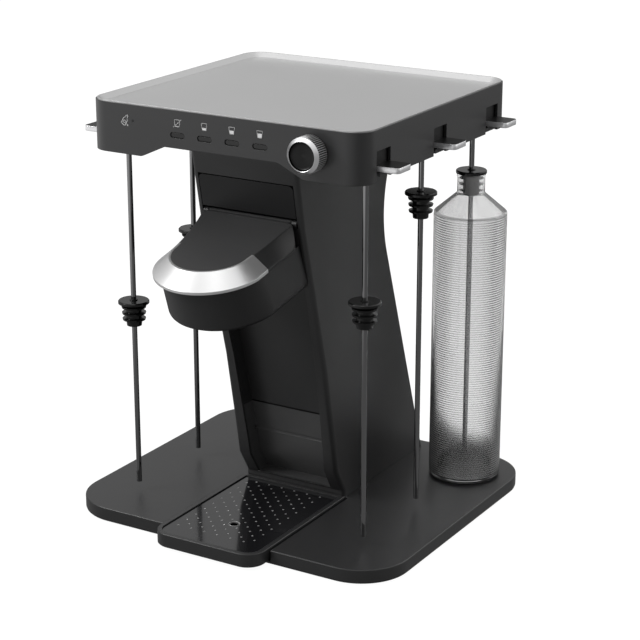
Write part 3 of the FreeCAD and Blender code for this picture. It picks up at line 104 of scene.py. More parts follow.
class DispenserColours(bpy.types.PropertyGroup):
    """Base colours of the finishes."""
    housing: bpy.props.FloatVectorProperty(
        name="Housing", description="Dark grey mouldings", subtype="COLOR",
        default=(0.022, 0.022, 0.0225), min=0, max=1)
    base: bpy.props.FloatVectorProperty(
        name="Base", description="Base and tray mouldings", subtype="COLOR",
        default=(0.021, 0.021, 0.0215), min=0, max=1)
    silver: bpy.props.FloatVectorProperty(
        name="Silver", description="Silver paint of the top tray", subtype="COLOR",
        default=(0.47, 0.47, 0.47), min=0, max=1)
    bright: bpy.props.FloatVectorProperty(
        name="Bright Metal", description="Polished trims", subtype="COLOR",
        default=(0.78, 0.78, 0.79), min=0, max=1)
    gloss: bpy.props.FloatVectorProperty(
        name="Gloss Black", description="Mirror black parts", subtype="COLOR",
        default=(0.008, 0.008, 0.009), min=0, max=1)
    rubber: bpy.props.FloatVectorProperty(
        name="Rubber", description="Stoppers and feet", subtype="COLOR",
        default=(0.004, 0.004, 0.004), min=0, max=1)
    print: bpy.props.FloatVectorProperty(
        name="Print", description="Printed icons", subtype="COLOR",
        default=(0.74, 0.74, 0.74), min=0, max=1)
    clear: bpy.props.FloatVectorProperty(
        name="Clear", description="Carafe wall", subtype="COLOR",
        default=(0.58, 0.585, 0.585), min=0, max=1)


def sizes():
    """The scene's size settings."""
    return bpy.context.scene.dispenser_sizes


def colours():
    """The scene's colour settings."""
    return bpy.context.scene.dispenser_colours


# ------------------------------------------------------------------ node helpers
def sums(tree):
    """A maker of maths nodes in one tree, from sockets and numbers."""
    def maths(operation, *values):
        """One maths node and what comes out of it."""
        node = tree.nodes.new("ShaderNodeMath")
        node.operation = operation
        for socket, value in zip(node.inputs, values):
            if isinstance(value, (int, float)):
                socket.default_value = value
            else:
                tree.links.new(value, socket)
        return node.outputs[0]
    return maths


def ramp(tree, value, start, end, low=0.0, high=1.0):
    """A ramp that is low up to start and high from end on."""
    node = tree.nodes.new("ShaderNodeMapRange")
    for socket, number in (("From Min", start), ("From Max", end), ("To Min", low),
                           ("To Max", high)):
        node.inputs[socket].default_value = number
    tree.links.new(value, node.inputs["Value"])
    return node.outputs["Result"]


def scaled(tree, colour, share):
    """A colour, as a socket or as numbers, times a share."""
    node = tree.nodes.new("ShaderNodeVectorMath")
    node.operation = "SCALE"
    if isinstance(colour, bpy.types.NodeSocket):
        tree.links.new(colour, node.inputs[0])
    else:
        node.inputs[0].default_value = colour
    tree.links.new(share, node.inputs["Scale"])
    return node.outputs[0]


def along(tree, vector, direction):
    """How far a vector reaches in a direction."""
    node = tree.nodes.new("ShaderNodeVectorMath")
    node.operation = "DOT_PRODUCT"
    node.inputs[1].default_value = direction
    tree.links.new(vector, node.inputs[0])
    return node.outputs["Value"]


def parts_of(tree, vector):
    """The X, Y and Z sockets of a vector."""
    split = tree.nodes.new("ShaderNodeSeparateXYZ")
    tree.links.new(vector, split.inputs[0])
    return split.outputs


def distance(maths, first, second):
    """Length of the offset with these two parts."""
    return maths("SQRT", maths("ADD", maths("MULTIPLY", first, first),
                               maths("MULTIPLY", second, second)))


# ------------------------------------------------------------------ node groups
def new_group(name, inputs, outputs):
    """An empty shader node group with its sockets, its entry and its exit."""
    group = bpy.data.node_groups.new(name, "ShaderNodeTree")
    for label, kind, default in inputs:
        socket = group.interface.new_socket(name=label, in_out="INPUT",
                                            socket_type=f"NodeSocket{kind}")
        socket.default_value = default
    for label, kind in outputs:
        group.interface.new_socket(name=label, in_out="OUTPUT", socket_type=f"NodeSocket{kind}")
    return group, group.nodes.new("NodeGroupInput"), group.nodes.new("NodeGroupOutput")


def grain_group():
    """Moulded grain: fine pits, a slow drift of tone, and a roughness that follows the drift."""
    group = bpy.data.node_groups.get("moulded_grain")
    if group:
        return group
    group, entry, leave = new_group(
        "moulded_grain",
        (("Pit Scale", "Float", 2600.0), ("Roughness", "Float", 0.45),
         ("Roughness Spread", "Float", 0.08), ("Tone Spread", "Float", 0.06),
         ("Colour", "Color", (0.03, 0.03, 0.03, 1))),
        (("Tone", "Color"), ("Rough", "Float"), ("Pits", "Float")))
    maths, link = sums(group), group.links.new
    place = group.nodes.new("ShaderNodeTexCoord")
    pits, drift = group.nodes.new("ShaderNodeTexNoise"), group.nodes.new("ShaderNodeTexNoise")
    pits.inputs["Detail"].default_value = 3
    pits.inputs["Roughness"].default_value = 0.6
    drift.inputs["Scale"].default_value = 14
    drift.inputs["Detail"].default_value = 4
    link(place.outputs["Object"], pits.inputs["Vector"])
    link(place.outputs["Object"], drift.inputs["Vector"])
    link(entry.outputs["Pit Scale"], pits.inputs["Scale"])
    centred = maths("SUBTRACT", drift.outputs["Fac"], 0.5)
    gain = maths("MULTIPLY_ADD", centred, entry.outputs["Tone Spread"], 1.0)
    link(scaled(group, entry.outputs["Colour"], gain), leave.inputs["Tone"])
    link(maths("MULTIPLY_ADD", centred, entry.outputs["Roughness Spread"],
               entry.outputs["Roughness"]), leave.inputs["Rough"])
    link(pits.outputs["Fac"], leave.inputs["Pits"])
    return group


def brushed_group():
    """Fine parallel lines drawn along one direction of the piece."""
    group = bpy.data.node_groups.get("drawn_lines")
    if group:
        return group
    group, entry, leave = new_group(
        "drawn_lines",
        (("Stretch", "Vector", (3000, 3000, 60)), ("Roughness", "Float", 0.25),
         ("Roughness Spread", "Float", 0.12)),
        (("Rough", "Float"), ("Lines", "Float")))
    maths, link = sums(group), group.links.new
    place, noise = group.nodes.new("ShaderNodeTexCoord"), group.nodes.new("ShaderNodeTexNoise")
    stretched = group.nodes.new("ShaderNodeVectorMath")
    stretched.operation = "MULTIPLY"
    noise.inputs["Scale"].default_value = 1
    noise.inputs["Detail"].default_value = 2
    link(place.outputs["Object"], stretched.inputs[0])
    link(entry.outputs["Stretch"], stretched.inputs[1])
    link(stretched.outputs[0], noise.inputs["Vector"])
    link(maths("MULTIPLY_ADD", noise.outputs["Fac"], entry.outputs["Roughness Spread"],
               entry.outputs["Roughness"]), leave.inputs["Rough"])
    link(noise.outputs["Fac"], leave.inputs["Lines"])
    return group


# ------------------------------------------------------------------ materials
def new_material(name):
    """An empty material and its shader."""
    material = bpy.data.materials.new(name)
    material.use_nodes = True
    return material, material.node_tree.nodes["Principled BSDF"]


def moulded(name, colour, roughness=0.45, spread=0.08, pit_scale=2600.0, pit_height=0.02,
            coat=0.0, coat_roughness=0.1, metallic=0.0, specular=0.32, tone=0.06, soft=0.5):
    """Moulded or painted finish with grain in its tone, gloss and surface."""
    material, shader = new_material(name)
    tree = material.node_tree
    grain = tree.nodes.new("ShaderNodeGroup")
    grain.node_tree = grain_group()
    grain.inputs["Pit Scale"].default_value = pit_scale
    grain.inputs["Roughness"].default_value = roughness
    grain.inputs["Roughness Spread"].default_value = spread
    grain.inputs["Tone Spread"].default_value = tone
    grain.inputs["Colour"].default_value = (*colour, 1)
    bump = tree.nodes.new("ShaderNodeBump")
    bump.inputs["Distance"].default_value = pit_height * MM
    bump.inputs["Strength"].default_value = 1
    rounded = tree.nodes.new("ShaderNodeBevel")
    rounded.samples = 4
    rounded.inputs["Radius"].default_value = soft * MM
    tree.links.new(rounded.outputs["Normal"], bump.inputs["Normal"])
    tree.links.new(grain.outputs["Tone"], shader.inputs["Base Color"])
    tree.links.new(grain.outputs["Rough"], shader.inputs["Roughness"])
    tree.links.new(grain.outputs["Pits"], bump.inputs["Height"])
    tree.links.new(bump.outputs["Normal"], shader.inputs["Normal"])
    shader.inputs["Coat Weight"].default_value = coat
    shader.inputs["Coat Roughness"].default_value = coat_roughness
    shader.inputs["Metallic"].default_value = metallic
    shader.inputs["Specular IOR Level"].default_value = specular
    return material


def drawn_metal(name, colour, stretch, roughness=0.18, spread=0.14, height=0.004):
    """Bright metal with fine lines left by drawing or turning."""
    material, shader = new_material(name)
    tree = material.node_tree
    lines = tree.nodes.new("ShaderNodeGroup")
    lines.node_tree = brushed_group()
    lines.inputs["Stretch"].default_value = stretch
    lines.inputs["Roughness"].default_value = roughness
    lines.inputs["Roughness Spread"].default_value = spread
    bump = tree.nodes.new("ShaderNodeBump")
    bump.inputs["Distance"].default_value = height * MM
    tree.links.new(lines.outputs["Rough"], shader.inputs["Roughness"])
    tree.links.new(lines.outputs["Lines"], bump.inputs["Height"])
    tree.links.new(bump.outputs["Normal"], shader.inputs["Normal"])
    shader.inputs["Base Color"].default_value = (*colour, 1)
    shader.inputs["Metallic"].default_value = 1
    return material


def paint_light_share(material, share):
    """Multiply a moulded finish's colour by a share that changes over the surface, to paint light
    and shade into it.
    """
    tree, shader = material.node_tree, material.node_tree.nodes["Principled BSDF"]
    base = shader.inputs["Base Color"]
    tree.links.new(scaled(tree, base.links[0].from_socket, share), base)


def knurled(name, colour, axis_at, radius, depth):
    """Satin metal with painted shade that darkens it towards the bottoms of its knurls."""
    material = moulded(name, colour, roughness=0.30, spread=0.05, pit_height=0.001,
                       metallic=0.7, specular=0.5, tone=0.04, soft=0.1)
    tree, maths = material.node_tree, sums(material.node_tree)
    place = parts_of(tree, tree.nodes.new("ShaderNodeTexCoord").outputs["Object"])
    reach = distance(maths, maths("SUBTRACT", place["X"], axis_at.x),
                     maths("SUBTRACT", place["Z"], axis_at.z))
    # Painted shade: the colour is darkened towards the bottoms of the knurl grooves.
    paint_light_share(material, ramp(tree, reach, radius - 0.75 * depth, radius - 0.15 * depth, 0.03))
    return material


def flank_shaded(name, colour, specular, soft):
    """Moulding with painted shade: darker on its flanks than on its top and front, by how far each
    face turns sideways.
    """
    material = moulded(name, colour, roughness=0.42, specular=specular, soft=soft)
    tree = material.node_tree
    # Painted shade on the flanks, from the sideways part of the normal.
    normal = parts_of(tree, tree.nodes.new("ShaderNodeNewGeometry").outputs["Normal"])
    sideways = sums(tree)("ABSOLUTE", normal["X"])
    paint_light_share(material, ramp(tree, sideways, 0.35, 0.8, 1.0, 0.45))
    return material


def clear_wall(name):
    """Clear moulded plastic with painted shade: grey lines painted along its outer skin below its
    shoulder, and on its foot.
    """
    material, shader = new_material(name)
    tree = material.node_tree
    nodes, link, maths = tree.nodes, tree.links.new, sums(tree)
    axis_at = middle("water_carafe")
    floor, mouth = (corner.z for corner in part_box("water_carafe"))
    skin, foot, shoulder = 40.2 * MM, floor + 4.2 * MM, mouth - SHOULDER_DROP
    coordinates = nodes.new("ShaderNodeTexCoord")
    place = parts_of(tree, coordinates.outputs["Object"])
    reach = distance(maths, maths("SUBTRACT", place["X"], axis_at.x),
                     maths("SUBTRACT", place["Y"], axis_at.y))
    facing = maths("SUBTRACT", 1.0, nodes.new("ShaderNodeNewGeometry").outputs["Backfacing"])
    glance = nodes.new("ShaderNodeLayerWeight")
    glance.inputs["Blend"].default_value = 0.5

    # Painted shade: grey lines, standing in for the shading of the ribs, lie on the outer skin
    # below the shoulder, seen from outside, and on the foot.
    footed = maths("LESS_THAN", place["Z"], foot)
    outside = maths("MULTIPLY", maths("MAXIMUM", maths("GREATER_THAN", reach, skin), footed),
                    maths("LESS_THAN", place["Z"], shoulder))
    painted_line_mask = maths("MAXIMUM", maths("MULTIPLY", outside, facing), footed)

    # The painted lines swing more towards the outline, and painted light makes the wall paler
    # towards the foot.
    wave = maths("SINE", maths("MULTIPLY", place["Z"], 2 * math.pi / sizes().rib_pitch))
    swing = ramp(tree, glance.outputs["Facing"], 0.05, 0.30, 0.16, 0.50)
    lines = maths("MULTIPLY_ADD", wave, swing, maths("SUBTRACT", 1.0, swing))
    painted_foot_light = ramp(tree, place["Z"], foot, shoulder, 1.72, 0.92)
    # Painted shade: the foot itself is darkened almost to black, against a bright ring at its
    # bottom edge.
    painted_foot_shade = maths("MULTIPLY_ADD", footed, -0.96, 1.0)
    ribbed = scaled(tree, colours().clear,
                    maths("MULTIPLY", maths("MULTIPLY", lines, painted_foot_light), painted_foot_shade))
    plain = scaled(tree, (1, 1, 1), maths("MULTIPLY_ADD", facing, -0.28, 0.98))
    mixed = nodes.new("ShaderNodeMix")
    mixed.data_type = "RGBA"
    link(painted_line_mask, mixed.inputs["Factor"])
    link(plain, mixed.inputs["A"])
    link(ribbed, mixed.inputs["B"])

    # Painted shade: the outline and the crease at the shoulder are darkened, in colour and in
    # gloss, and the gloss of the foot is dimmed too.
    rim = maths("SUBTRACT", 1.0, ramp(tree, glance.outputs["Facing"], 0.68, 1.0, 1.0, 0.15))
    crease_shade_band = maths("COMPARE", place["Z"], shoulder, 0.8 * MM)
    painted_dimming = maths("MULTIPLY", maths("SUBTRACT", 1.0, maths("MULTIPLY", rim, facing)),
                   maths("MULTIPLY_ADD", crease_shade_band, -0.6, 1.0))
    link(scaled(tree, mixed.outputs["Result"], painted_dimming), shader.inputs["Base Color"])
    link(maths("MULTIPLY", painted_dimming, maths("MULTIPLY_ADD", footed, -0.8, 1.0)),
         shader.inputs["Specular Tint"])

    # The blown wall is a little uneven.
    swell, bump = nodes.new("ShaderNodeTexNoise"), nodes.new("ShaderNodeBump")
    swell.inputs["Scale"].default_value = 60
    bump.inputs["Distance"].default_value = 0.01 * MM
    link(coordinates.outputs["Object"], swell.inputs["Vector"])
    link(swell.outputs["Fac"], bump.inputs["Height"])
    link(bump.outputs["Normal"], shader.inputs["Normal"])
    shader.inputs["Transmission Weight"].default_value = 0.92
    shader.inputs["Roughness"].default_value = 0.03
    shader.inputs["IOR"].default_value = 1.46
    return material


def finish_book():
    """Every finish, by the record's slot name."""
    tones = colours()
    return {
        "base": moulded("base_moulding", tones.base, roughness=0.38, specular=0.42),
        "housing": moulded("housing_moulding", tones.housing, roughness=0.38, specular=0.5),
        "silver": moulded("silver_paint", tones.silver, roughness=0.30, spread=0.06,
                          pit_scale=4200.0, pit_height=0.004, metallic=0.52, tone=0.03),
        "ring": drawn_metal("mix_ring_metal", tones.bright, (1200, 60, 1200), 0.27, 0.06, 0.001),
        "gloss_black": moulded("gloss_black", tones.gloss, roughness=0.12, spread=0.05,
                               pit_scale=500.0, pit_height=0.001, coat=0.25, coat_roughness=0.04),
        "mix_face": moulded("mix_face", (0.009, 0.009, 0.009), roughness=0.3,
                            pit_height=0.004, specular=0.16, soft=1.0),
        # Painted light: the splash panel is a lighter copy of the housing, for the light it catches
        # from above and in front.
        "splash": moulded("splash_moulding_painted_light", (0.060, 0.060, 0.0605), roughness=0.38,
                          specular=0.5),
        # Painted shade: the brow panel is a darker copy of the housing, for the head's shadow over
        # it.
        "brow": moulded("brow_moulding_painted_shade", (0.013, 0.013, 0.0135), roughness=0.38,
                        specular=0.3),
        "rubber": moulded("stopper_rubber", tones.rubber, roughness=0.15, spread=0.08,
                          pit_scale=1800.0, pit_height=0.003, specular=0.34, tone=0.15),
        "steel": drawn_metal("tube_steel", (0.19, 0.19, 0.192), (2600, 2600, 30), 0.05, 0.04,
                             0.001),
        "trim": moulded("trim_paint", (0.68, 0.68, 0.68), roughness=0.30, spread=0.05,
                        pit_scale=5200.0, pit_height=0.001, metallic=0.78, tone=0.02),
        "button": moulded("button_face", (0.005, 0.005, 0.005), roughness=0.12,
                          pit_height=0.002, specular=0.38, soft=1.2),
        # Painted light: the lid is a lighter copy of the housing colour, and it carries painted
        # flank shade as well.
        "lid": flank_shaded("lid_moulding_painted_light", (0.042, 0.042, 0.0425), 0.24, 2.0),
        "pod": flank_shaded("pod_moulding_flank_shade", tones.housing, 0.36, 0.5),
        "lever": moulded("lever_moulding", (0.007, 0.007, 0.007), roughness=0.36,
                         pit_height=0.006, specular=0.2),
        "inner_plastic": moulded("inner_plastic", (0.05, 0.05, 0.052), roughness=0.5),
        "metal_case": drawn_metal("folded_sheet", (0.55, 0.56, 0.57), (60, 2600, 2600), 0.3),
        "board": moulded("circuit_board", (0.012, 0.085, 0.038), roughness=0.3, coat=0.4),
        "hose": moulded("silicone_hose", (0.45, 0.45, 0.42), roughness=0.4, pit_height=0.01),
        "clear": clear_wall("carafe_wall"),
        "lamp": moulded("lamp_lens", (0.016, 0.016, 0.016), roughness=0.25, pit_height=0.002),
    }


# ------------------------------------------------------------------ modelling helpers
def select_only(piece):
    """Make one object the whole selection."""
    bpy.ops.object.select_all(action="DESELECT")
    bpy.context.view_layer.objects.active = piece
    piece.select_set(True)


def edit_pick(piece, wanted, kind="VERT"):
    """Enter edit mode with only the wanted vertices, edges or faces picked."""
    select_only(piece)
    bpy.ops.object.mode_set(mode="EDIT")
    bpy.ops.mesh.select_mode(type=kind)
    bpy.ops.mesh.select_all(action="DESELECT")
    mesh = bmesh.from_edit_mesh(piece.data)
    group = {"VERT": mesh.verts, "EDGE": mesh.edges, "FACE": mesh.faces}[kind]
    for item in group:
        item.select_set(bool(wanted(item)))
    mesh.select_flush_mode()
    bmesh.update_edit_mesh(piece.data)


def leave_edit():
    """Back to object mode."""
    bpy.ops.object.mode_set(mode="OBJECT")


def tidy_mesh(piece, merge=0.01 * MM, angle=35):
    """Merge doubles, turn faces outwards and shade by angle."""
    edit_pick(piece, lambda item: True)
    bpy.ops.mesh.remove_doubles(threshold=merge)
    bpy.ops.mesh.select_all(action="SELECT")
    bpy.ops.mesh.normals_make_consistent(inside=False)
    leave_edit()
    bpy.ops.object.shade_smooth_by_angle(angle=math.radians(angle))


def settle(piece):
    """Put the object's place into its mesh."""
    select_only(piece)
    bpy.ops.object.transform_apply(location=True, rotation=True, scale=True)


def dress(piece, name, material, body):
    """Name a finished piece, give it its finish and hang it on its body."""
    piece.name = name
    piece.data.name = name
    piece.data.materials.clear()
    piece.data.materials.append(material)
    settle(piece)
    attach(piece, body)
    return piece


def lathe(profile, centre, axis, segments):
    """A turned skin: rings of (distance along the axis, radius) drawn out one from the other."""
    turn = (math.pi / 2, 0, 0) if axis == "Y" else (0, 0, 0)
    along = Vector((0, 1, 0)) if axis == "Y" else Vector((0, 0, 1))
    start, radius = profile[0]
    bpy.ops.object.select_all(action="DESELECT")
    bpy.ops.mesh.primitive_circle_add(vertices=segments, radius=radius, rotation=turn,
                                      location=Vector(centre) + along * start)
    piece = bpy.context.object
    settle(piece)
    bpy.ops.object.mode_set(mode="EDIT")
    bpy.ops.mesh.select_mode(type="VERT")
    bpy.ops.mesh.select_all(action="SELECT")
    for place, reach in profile[1:]:
        bpy.ops.mesh.extrude_region_move(
            TRANSFORM_OT_translate={"value": along * (place - start)})
        ratio = reach / radius
        grow = (ratio, 1, ratio) if axis == "Y" else (ratio, ratio, 1)
        bpy.ops.transform.resize(value=grow, center_override=Vector(centre) + along * place)
        start, radius = place, reach
    leave_edit()
    return piece


def stroke(start, finish, width, depth, face_y):
    """A printed bar on the head's front, between two (X, Z) points."""
    run, rise = finish[0] - start[0], finish[1] - start[1]
    length = math.hypot(run, rise)
    bpy.ops.object.select_all(action="DESELECT")
    bpy.ops.mesh.primitive_cube_add(
        size=1, location=((start[0] + finish[0]) / 2, face_y, (start[1] + finish[1]) / 2),
        rotation=(0, -math.atan2(rise, run), 0), scale=(length + width, depth, width))
    settle(bpy.context.object)
    return bpy.context.object


def join_all(members):
    """One object from several."""
    select_only(members[0])
    for member in members:
        member.select_set(True)
    bpy.ops.object.join()
    return bpy.context.object


# ------------------------------------------------------------------ operators
class DISPENSER_OT_finish_mouldings(bpy.types.Operator):
    """Give every CAD node its finish, with merged corners, soft edges and smooth rounds"""
    bl_idname = "dispenser.finish_mouldings"
    bl_label = "Finish the Mouldings"

    def execute(self, context):
        finishes = finish_book()
        slots = {part["node"]: part["material_slot"] for part in frame["record"]["subparts"]}
        # Pieces with a finish of their own within their slot; the lid, pod chamber, splash panel
        # and brow panel get copies of the housing with painted light and shade.
        slots.update({"lid_trim": "trim", "pod_lid": "lid", "pod_chamber": "pod",
                      "lid_hinge_pin": "lever", "mix_button": "mix_face",
                      "splash_panel": "splash", "brow_panel": "brow"})
        slots.update({f"strength_button_{number}": "button" for number in range(1, 5)})
        slots.update({f"bottle_lever_{side}_{row}": "lever" for side in SIDES for row in ROWS})
        for name, node in frame["nodes"].items():
            node.data.materials.clear()
            node.data.materials.append(finishes[slots[name]])
            node.data.polygons.foreach_set("use_smooth", [True] * len(node.data.polygons))
            weld = node.modifiers.new("weld", "WELD")
            weld.merge_threshold = 0.005 * MM
            split = node.modifiers.new("crisp_edges", "EDGE_SPLIT")
            split.split_angle = math.radians(28)
        return {"FINISHED"}


class DISPENSER_OT_add_mix_ring(bpy.types.Operator):
    """Turn the knurled ring round the mix button"""
    bl_idname = "dispenser.add_mix_ring"
    bl_label = "Add Mix Ring"

    def execute(self, context):
        low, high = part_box("mix_bezel")
        centre = middle("mix_bezel")
        radius = (high.x - low.x) / 2
        back, front = high.y - centre.y, low.y - centre.y
        count, depth = sizes().knurl_count, sizes().knurl_depth
        bore = radius * 0.781
        outer = [(back, radius * 0.96), (back - 1.0 * MM, radius * 0.96),
                 (back - 1.3 * MM, radius), (front + 3.9 * MM, radius)]
        bright = [(front + 3.4 * MM, radius * 0.985), (front + 3.0 * MM, radius * 0.965),
                  (front + 0.5 * MM, radius * 0.83), (front + 0.15 * MM, radius * 0.81),
                  (front, radius * 0.80), (front + 0.15 * MM, radius * 0.787),
                  (front + 0.5 * MM, bore), (back - 3 * MM, bore)]
        ring = lathe(outer + bright, centre, "Y", count * 2)

        def groove(vertex):
            """Whether a vertex is at the bottom of a knurl."""
            across, up = vertex.co.x - centre.x, vertex.co.z - centre.z
            reach = math.hypot(across, up)
            if abs(reach - radius) > 0.05 * MM:
                return False
            step = math.atan2(up, across) / (math.pi / count)
            return round(step) % 2 == 1

        edit_pick(ring, groove)
        ratio = 1 - depth / radius
        bpy.ops.transform.resize(value=(ratio, 1, ratio), center_override=centre)
        leave_edit()
        edit_pick(ring, lambda vertex: True)
        bpy.ops.mesh.normals_make_consistent(inside=False)
        leave_edit()
        select_only(ring)
        bpy.ops.object.shade_smooth_by_angle(angle=math.radians(24))
        dress(ring, "mix_ring", bpy.data.materials["mix_ring_metal"], "machine")
        ring.data.materials.append(knurled("knurl_metal_groove_shade", (0.85, 0.85, 0.855), centre, radius,
                                           depth))
        for face in ring.data.polygons:
            if face.center.y > low.y + 3.5 * MM and abs(face.normal.y) < 0.5:
                face.material_index = 1
        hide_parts("mix_bezel")
        return {"FINISHED"}


class DISPENSER_OT_add_lever_trims(bpy.types.Operator):
    """Wrap a bright band round the tongue of each bottle lever"""
    bl_idname = "dispenser.add_lever_trims"
    bl_label = "Add Lever Trims"

    def band(self, skirt, tip, centre_y, bottom):
        """A band that runs out from the head's skirt, round the tip and back."""
        width, height = 27.2 * MM, 5.8 * MM
        bpy.ops.object.select_all(action="DESELECT")
        bpy.ops.mesh.primitive_plane_add(size=1, location=((skirt + tip) / 2, centre_y, bottom))
        band = bpy.context.object
        band.scale = (abs(tip - skirt), width, 1)
        settle(band)
        edit_pick(band, lambda vertex: abs(vertex.co.x - tip) < 1e-5)
        bpy.ops.mesh.bevel(affect="VERTICES", offset=sizes().lever_corner, segments=10)
        leave_edit()
        edit_pick(band, lambda face: True, "FACE")
        bpy.ops.mesh.delete(type="ONLY_FACE")
        leave_edit()
        edit_pick(band, lambda edge: all(abs(v.co.x - skirt) < 1e-5 for v in edge.verts), "EDGE")
        bpy.ops.mesh.delete(type="EDGE")
        leave_edit()
        edit_pick(band, lambda edge: True, "EDGE")
        bpy.ops.mesh.extrude_edges_move(TRANSFORM_OT_translate={"value": (0, 0, height)})
        leave_edit()
        wall = band.modifiers.new("wall", "SOLIDIFY")
        wall.thickness = sizes().trim_thickness
        wall.offset = 0
        select_only(band)
        bpy.ops.object.modifier_apply(modifier="wall")
        soft = band.modifiers.new("soft", "BEVEL")
        soft.width = 0.25 * MM
        soft.segments = 2
        soft.angle_limit = math.radians(50)
        bpy.ops.object.modifier_apply(modifier="soft")
        tidy_mesh(band)
        return band

    def execute(self, context):
        shiny = moulded("lever_trim_metal", colours().bright, roughness=0.34, spread=0.06,
                        pit_scale=5200.0, pit_height=0.001, metallic=0.9, tone=0.03, soft=0.4)
        head_low, head_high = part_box("head_shell")
        for side, sign in SIDES.items():
            skirt = (head_high.x if sign > 0 else head_low.x) - sign * 2.2 * MM
            for row in ROWS:
                lever = f"bottle_lever_{side}_{row}"
                low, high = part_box(lever)
                tip = high.x if sign > 0 else low.x
                band = self.band(skirt, tip, (low.y + high.y) / 2, low.z - 0.95 * MM)
                dress(band, f"lever_trim_{side}_{row}", shiny, lever)
        return {"FINISHED"}


class DISPENSER_OT_add_icons(bpy.types.Operator):
    """Print a tumbler over each strength button and a bottle by the cleaning lamp"""
    bl_idname = "dispenser.add_icons"
    bl_label = "Add Icons"

    def tumbler(self, across, up, fill, struck):
        """Strokes of one tumbler, filled to a share of its height."""
        height = sizes().icon_height
        wide, narrow = 0.46 * height, 0.36 * height
        line, depth = 0.42 * MM, 0.12 * MM
        low, high = up - height / 2, up + height / 2
        corners = [(across - wide, high), (across - narrow, low), (across + narrow, low),
                   (across + wide, high)]
        bars = [stroke(first, last, line, depth, self.face)
                for first, last in zip(corners, corners[1:] + corners[:1])]
        levels = max(1, round(fill * height / (0.9 * line)))
        for number in range(levels):
            rise = low + (number + 0.5) * fill * height / levels
            reach = narrow + (wide - narrow) * (rise - low) / height
            bars.append(stroke((across - reach, rise), (across + reach, rise),
                               fill * height / levels, depth, self.face))
        if struck:
            bars.append(stroke((across - 1.7 * narrow, low - 0.6 * MM),
                               (across + 2.0 * narrow, high + 0.5 * MM), line, depth, self.face))
        return bars

    def bottle(self, across, up):
        """Strokes of a leaning bottle with a spark beside it."""
        line, depth = 0.6 * MM, 0.12 * MM
        lean = math.radians(30)

        def leaned(x, z):
            """A point of the bottle, brought to size and turned with its lean."""
            x, z = 1.25 * x * MM, 1.25 * z * MM
            return (across + x * math.cos(lean) + z * math.sin(lean),
                    up - x * math.sin(lean) + z * math.cos(lean))

        shape = [(-2.2, -4.4), (2.2, -4.4), (2.2, 1.2), (0.9, 2.6), (0.9, 5.0), (-0.9, 5.0),
                 (-0.9, 2.6), (-2.2, 1.2)]
        points = [leaned(x, z) for x, z in shape]
        bars = [stroke(first, last, line, depth, self.face)
                for first, last in zip(points, points[1:] + points[:1])]
        label = [leaned(-1.1, -2.6), leaned(1.1, -2.6), leaned(1.1, -0.4), leaned(-1.1, -0.4)]
        bars += [stroke(first, last, line, depth, self.face)
                 for first, last in zip(label, label[1:] + label[:1])]
        spark = (across + 3.0 * MM, up - 5.2 * MM)
        for angle in (0, 60, 120):
            run = 1.1 * MM * math.cos(math.radians(angle))
            rise = 1.1 * MM * math.sin(math.radians(angle))
            bars.append(stroke((spark[0] - run, spark[1] - rise),
                               (spark[0] + run, spark[1] + rise), 0.35 * MM, depth, self.face))
        return bars

    def execute(self, context):
        self.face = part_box("head_shell")[0].y
        ink = moulded("icon_print", colours().print, roughness=0.5, pit_height=0.002, tone=0.1)
        for number, (fill, struck) in enumerate(((0.10, True), (0.34, False), (0.5, False),
                                                 (0.62, False)), start=1):
            button = middle(f"strength_button_{number}")
            icon = join_all(self.tumbler(button.x, button.z + sizes().icon_rise, fill, struck))
            dress(icon, f"strength_icon_{number}", ink, "machine")
        lamp = middle("cleaning_lamp")
        icon = join_all(self.bottle(lamp.x - 10.2 * MM, lamp.z))
        dress(icon, "cleaning_icon", ink, "machine")
        return {"FINISHED"}


